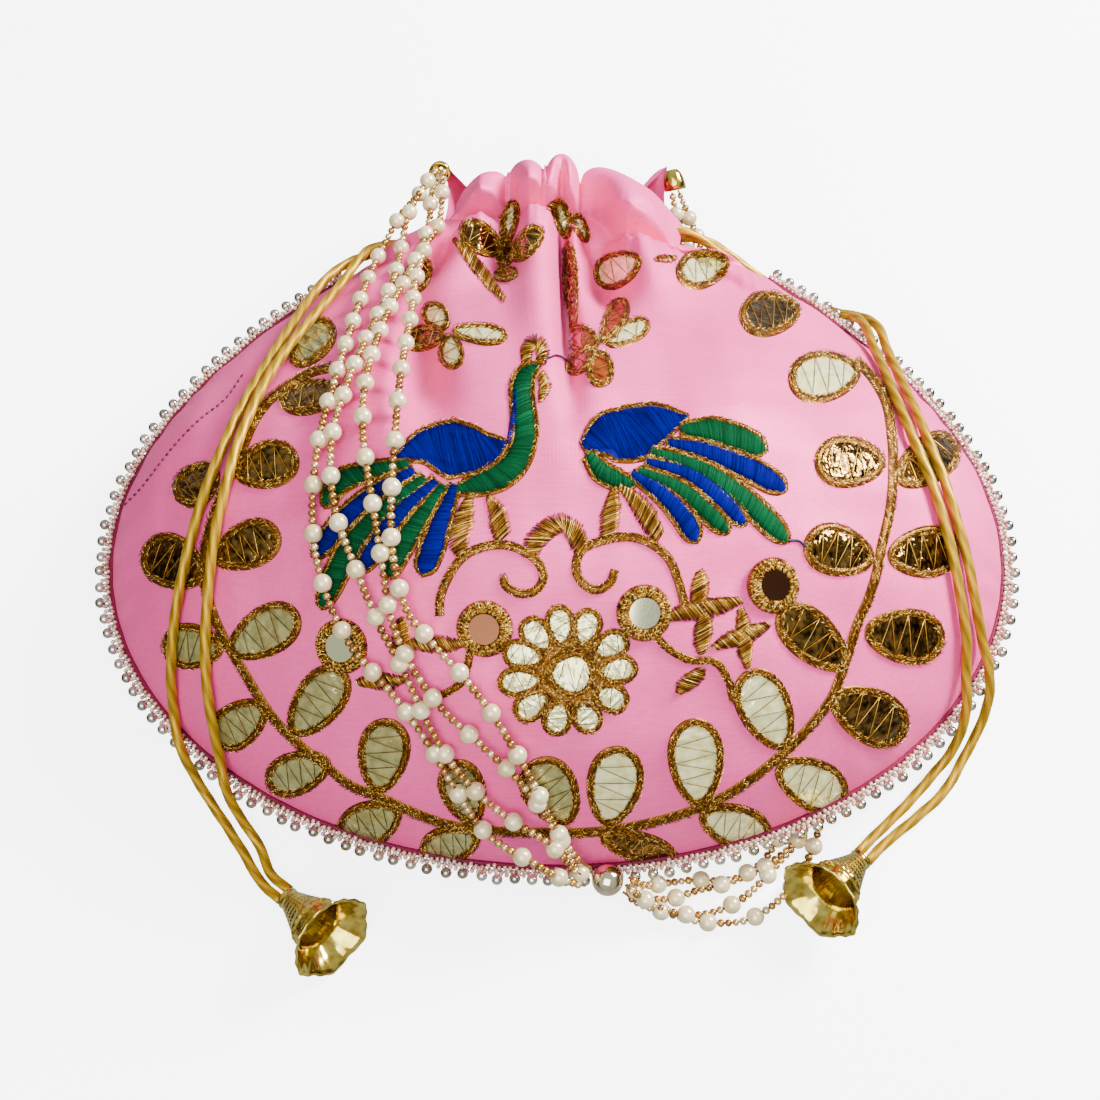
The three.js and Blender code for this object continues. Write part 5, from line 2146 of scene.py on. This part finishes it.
@dataclass
class Studio:
    """Pale floor, soft overhead light and a dim surround low at the sides."""

    floor_size: float = 40.0
    floor_glow: float = 4.5
    surround_strength: float = 0.62

    def build(self) -> None:
        """Makes the floor, the lights and the surround."""
        self.add_floor()
        self.add_world()
        self.add_area("key_softbox", (0.75, 0.5, 0.62), 0.45, 46.0)
        self.add_area("front_softbox", (-0.15, -0.6, 1.1), 1.0, 20.0)

    def add_floor(self) -> None:
        """A plain pale table top."""
        mesh = bpy.data.meshes.new("table_top")
        half = self.floor_size / 2
        corners = [(-half, -half, 0.0), (half, -half, 0.0), (half, half, 0.0), (-half, half, 0.0)]
        mesh.from_pydata(corners, [], [(0, 1, 2, 3)])
        floor = bpy.data.objects.new("table_top", mesh)
        settings = {"Roughness": 0.8, "Emission Strength": self.floor_glow,
                    "Emission Color": colour("FFFFFF")}
        material, tree, shader = new_material("matt_white_table", settings)
        cloud = add_node(tree, "ShaderNodeTexNoise", {"Scale": 6.0})
        stops = [(0.0, "F1F1F0"), (1.0, "F8F8F8")]
        tone_ramp(tree, cloud.outputs["Fac"], stops, shader.inputs["Base Color"])
        mesh.materials.append(material)
        floor.visible_diffuse = False
        floor.visible_glossy = False
        bpy.context.scene.collection.objects.link(floor)

    def add_world(self) -> None:
        """White above, dimmer and browner towards the horizon, so that metal has something to reflect."""
        world = bpy.data.worlds.new("studio_surround")
        world.use_nodes = True
        tree = world.node_tree
        spot = add_node(tree, "ShaderNodeTexCoord")
        split = add_node(tree, "ShaderNodeSeparateXYZ", links={"Vector": spot.outputs["Generated"]})
        ahead = add_node(tree, "ShaderNodeMath", {"operation": "ABSOLUTE"}, {0: split.outputs["Y"]})
        steep = add_node(tree, "ShaderNodeMath", {"operation": "ABSOLUTE"}, {0: split.outputs["Z"]})
        height = add_node(tree, "ShaderNodeMath", {"operation": "MULTIPLY_ADD", 1: 0.6},
                          {0: ahead.outputs[0], 2: steep.outputs[0]})
        stops = [(0.05, "3A2E24"), (0.35, "8C7E70"), (0.6, "F4F2EE"), (1.0, "FFFFFF")]
        background = tree.nodes["Background"]
        tone_ramp(tree, height.outputs[0], stops, background.inputs["Color"])
        background.inputs["Strength"].default_value = self.surround_strength
        bpy.context.scene.world = world

    def add_area(self, name: str, place_m: Point, size: float, power: float) -> None:
        """A square soft light aimed at the bag.

        Args:
            name: its name.
            place_m: its place in metres.
            size: its side in metres.
            power: its power in watts.
        """
        light = bpy.data.lights.new(name, "AREA")
        light.size = size
        light.energy = power
        lamp = bpy.data.objects.new(name, light)
        lamp.location = place_m
        lamp.rotation_euler = (Vector((0.0, 0.0, 0.03)) - Vector(place_m)).to_track_quat("-Z", "Y").to_euler()
        bpy.context.scene.collection.objects.link(lamp)


def main() -> None:
    """Builds the bag, piece by piece, and its studio."""
    logging.basicConfig(level=logging.INFO, format="%(name)s: %(message)s")
    finishes = Finishes()
    sight = PhotoSight()
    sight.add_camera()
    left_seat, right_seat = (-74.0, -87.2, 2.75), (84.0, -76.6, 2.75)
    left_bell = Bell("left_bell_petalled", "left_bell", left_seat, (0.752, -0.66), finishes).build()
    right_bell = Bell("right_bell_petalled", "right_bell", right_seat, (-0.722, -0.692), finishes).build()
    bag = Bag(finishes)
    Drawcord("left_drawcord_twisted", "left_drawcord", LEFT_CORD, finishes).build(left_bell)
    Drawcord("right_drawcord_twisted", "right_drawcord", RIGHT_CORD, finishes).build(right_bell)
    Strap(finishes).build()
    bag.build_panels()
    bag.build_linings()
    BeadEdging(finishes).build()
    sight.aim_at(bag.front_points)
    sewing = Stitching(sight)
    Mirrors(sewing, finishes).build()
    embroidery = Embroidery(sewing, finishes)
    embroidery.vines()
    # The left leaves take the foil copy with painted shade
    embroidery.leaves("left_leaves", LEFT_LEAVES, embroidery.border_px, 6, shaded=True)
    embroidery.leaves("right_leaves", RIGHT_LEAVES, embroidery.border_px, 6)
    embroidery.leaves("neck_leaves", NECK_LEAVES, embroidery.small_border_px, 4)
    embroidery.leaves("florets", FLORET_LEAVES, embroidery.floret_border_px, 3)
    embroidery.flower()
    embroidery.bars()
    embroidery.peacocks()
    embroidery.rim_stitches()
    Studio().build()
    bpy.context.view_layer.update()


if __name__ == "__main__":
    main()
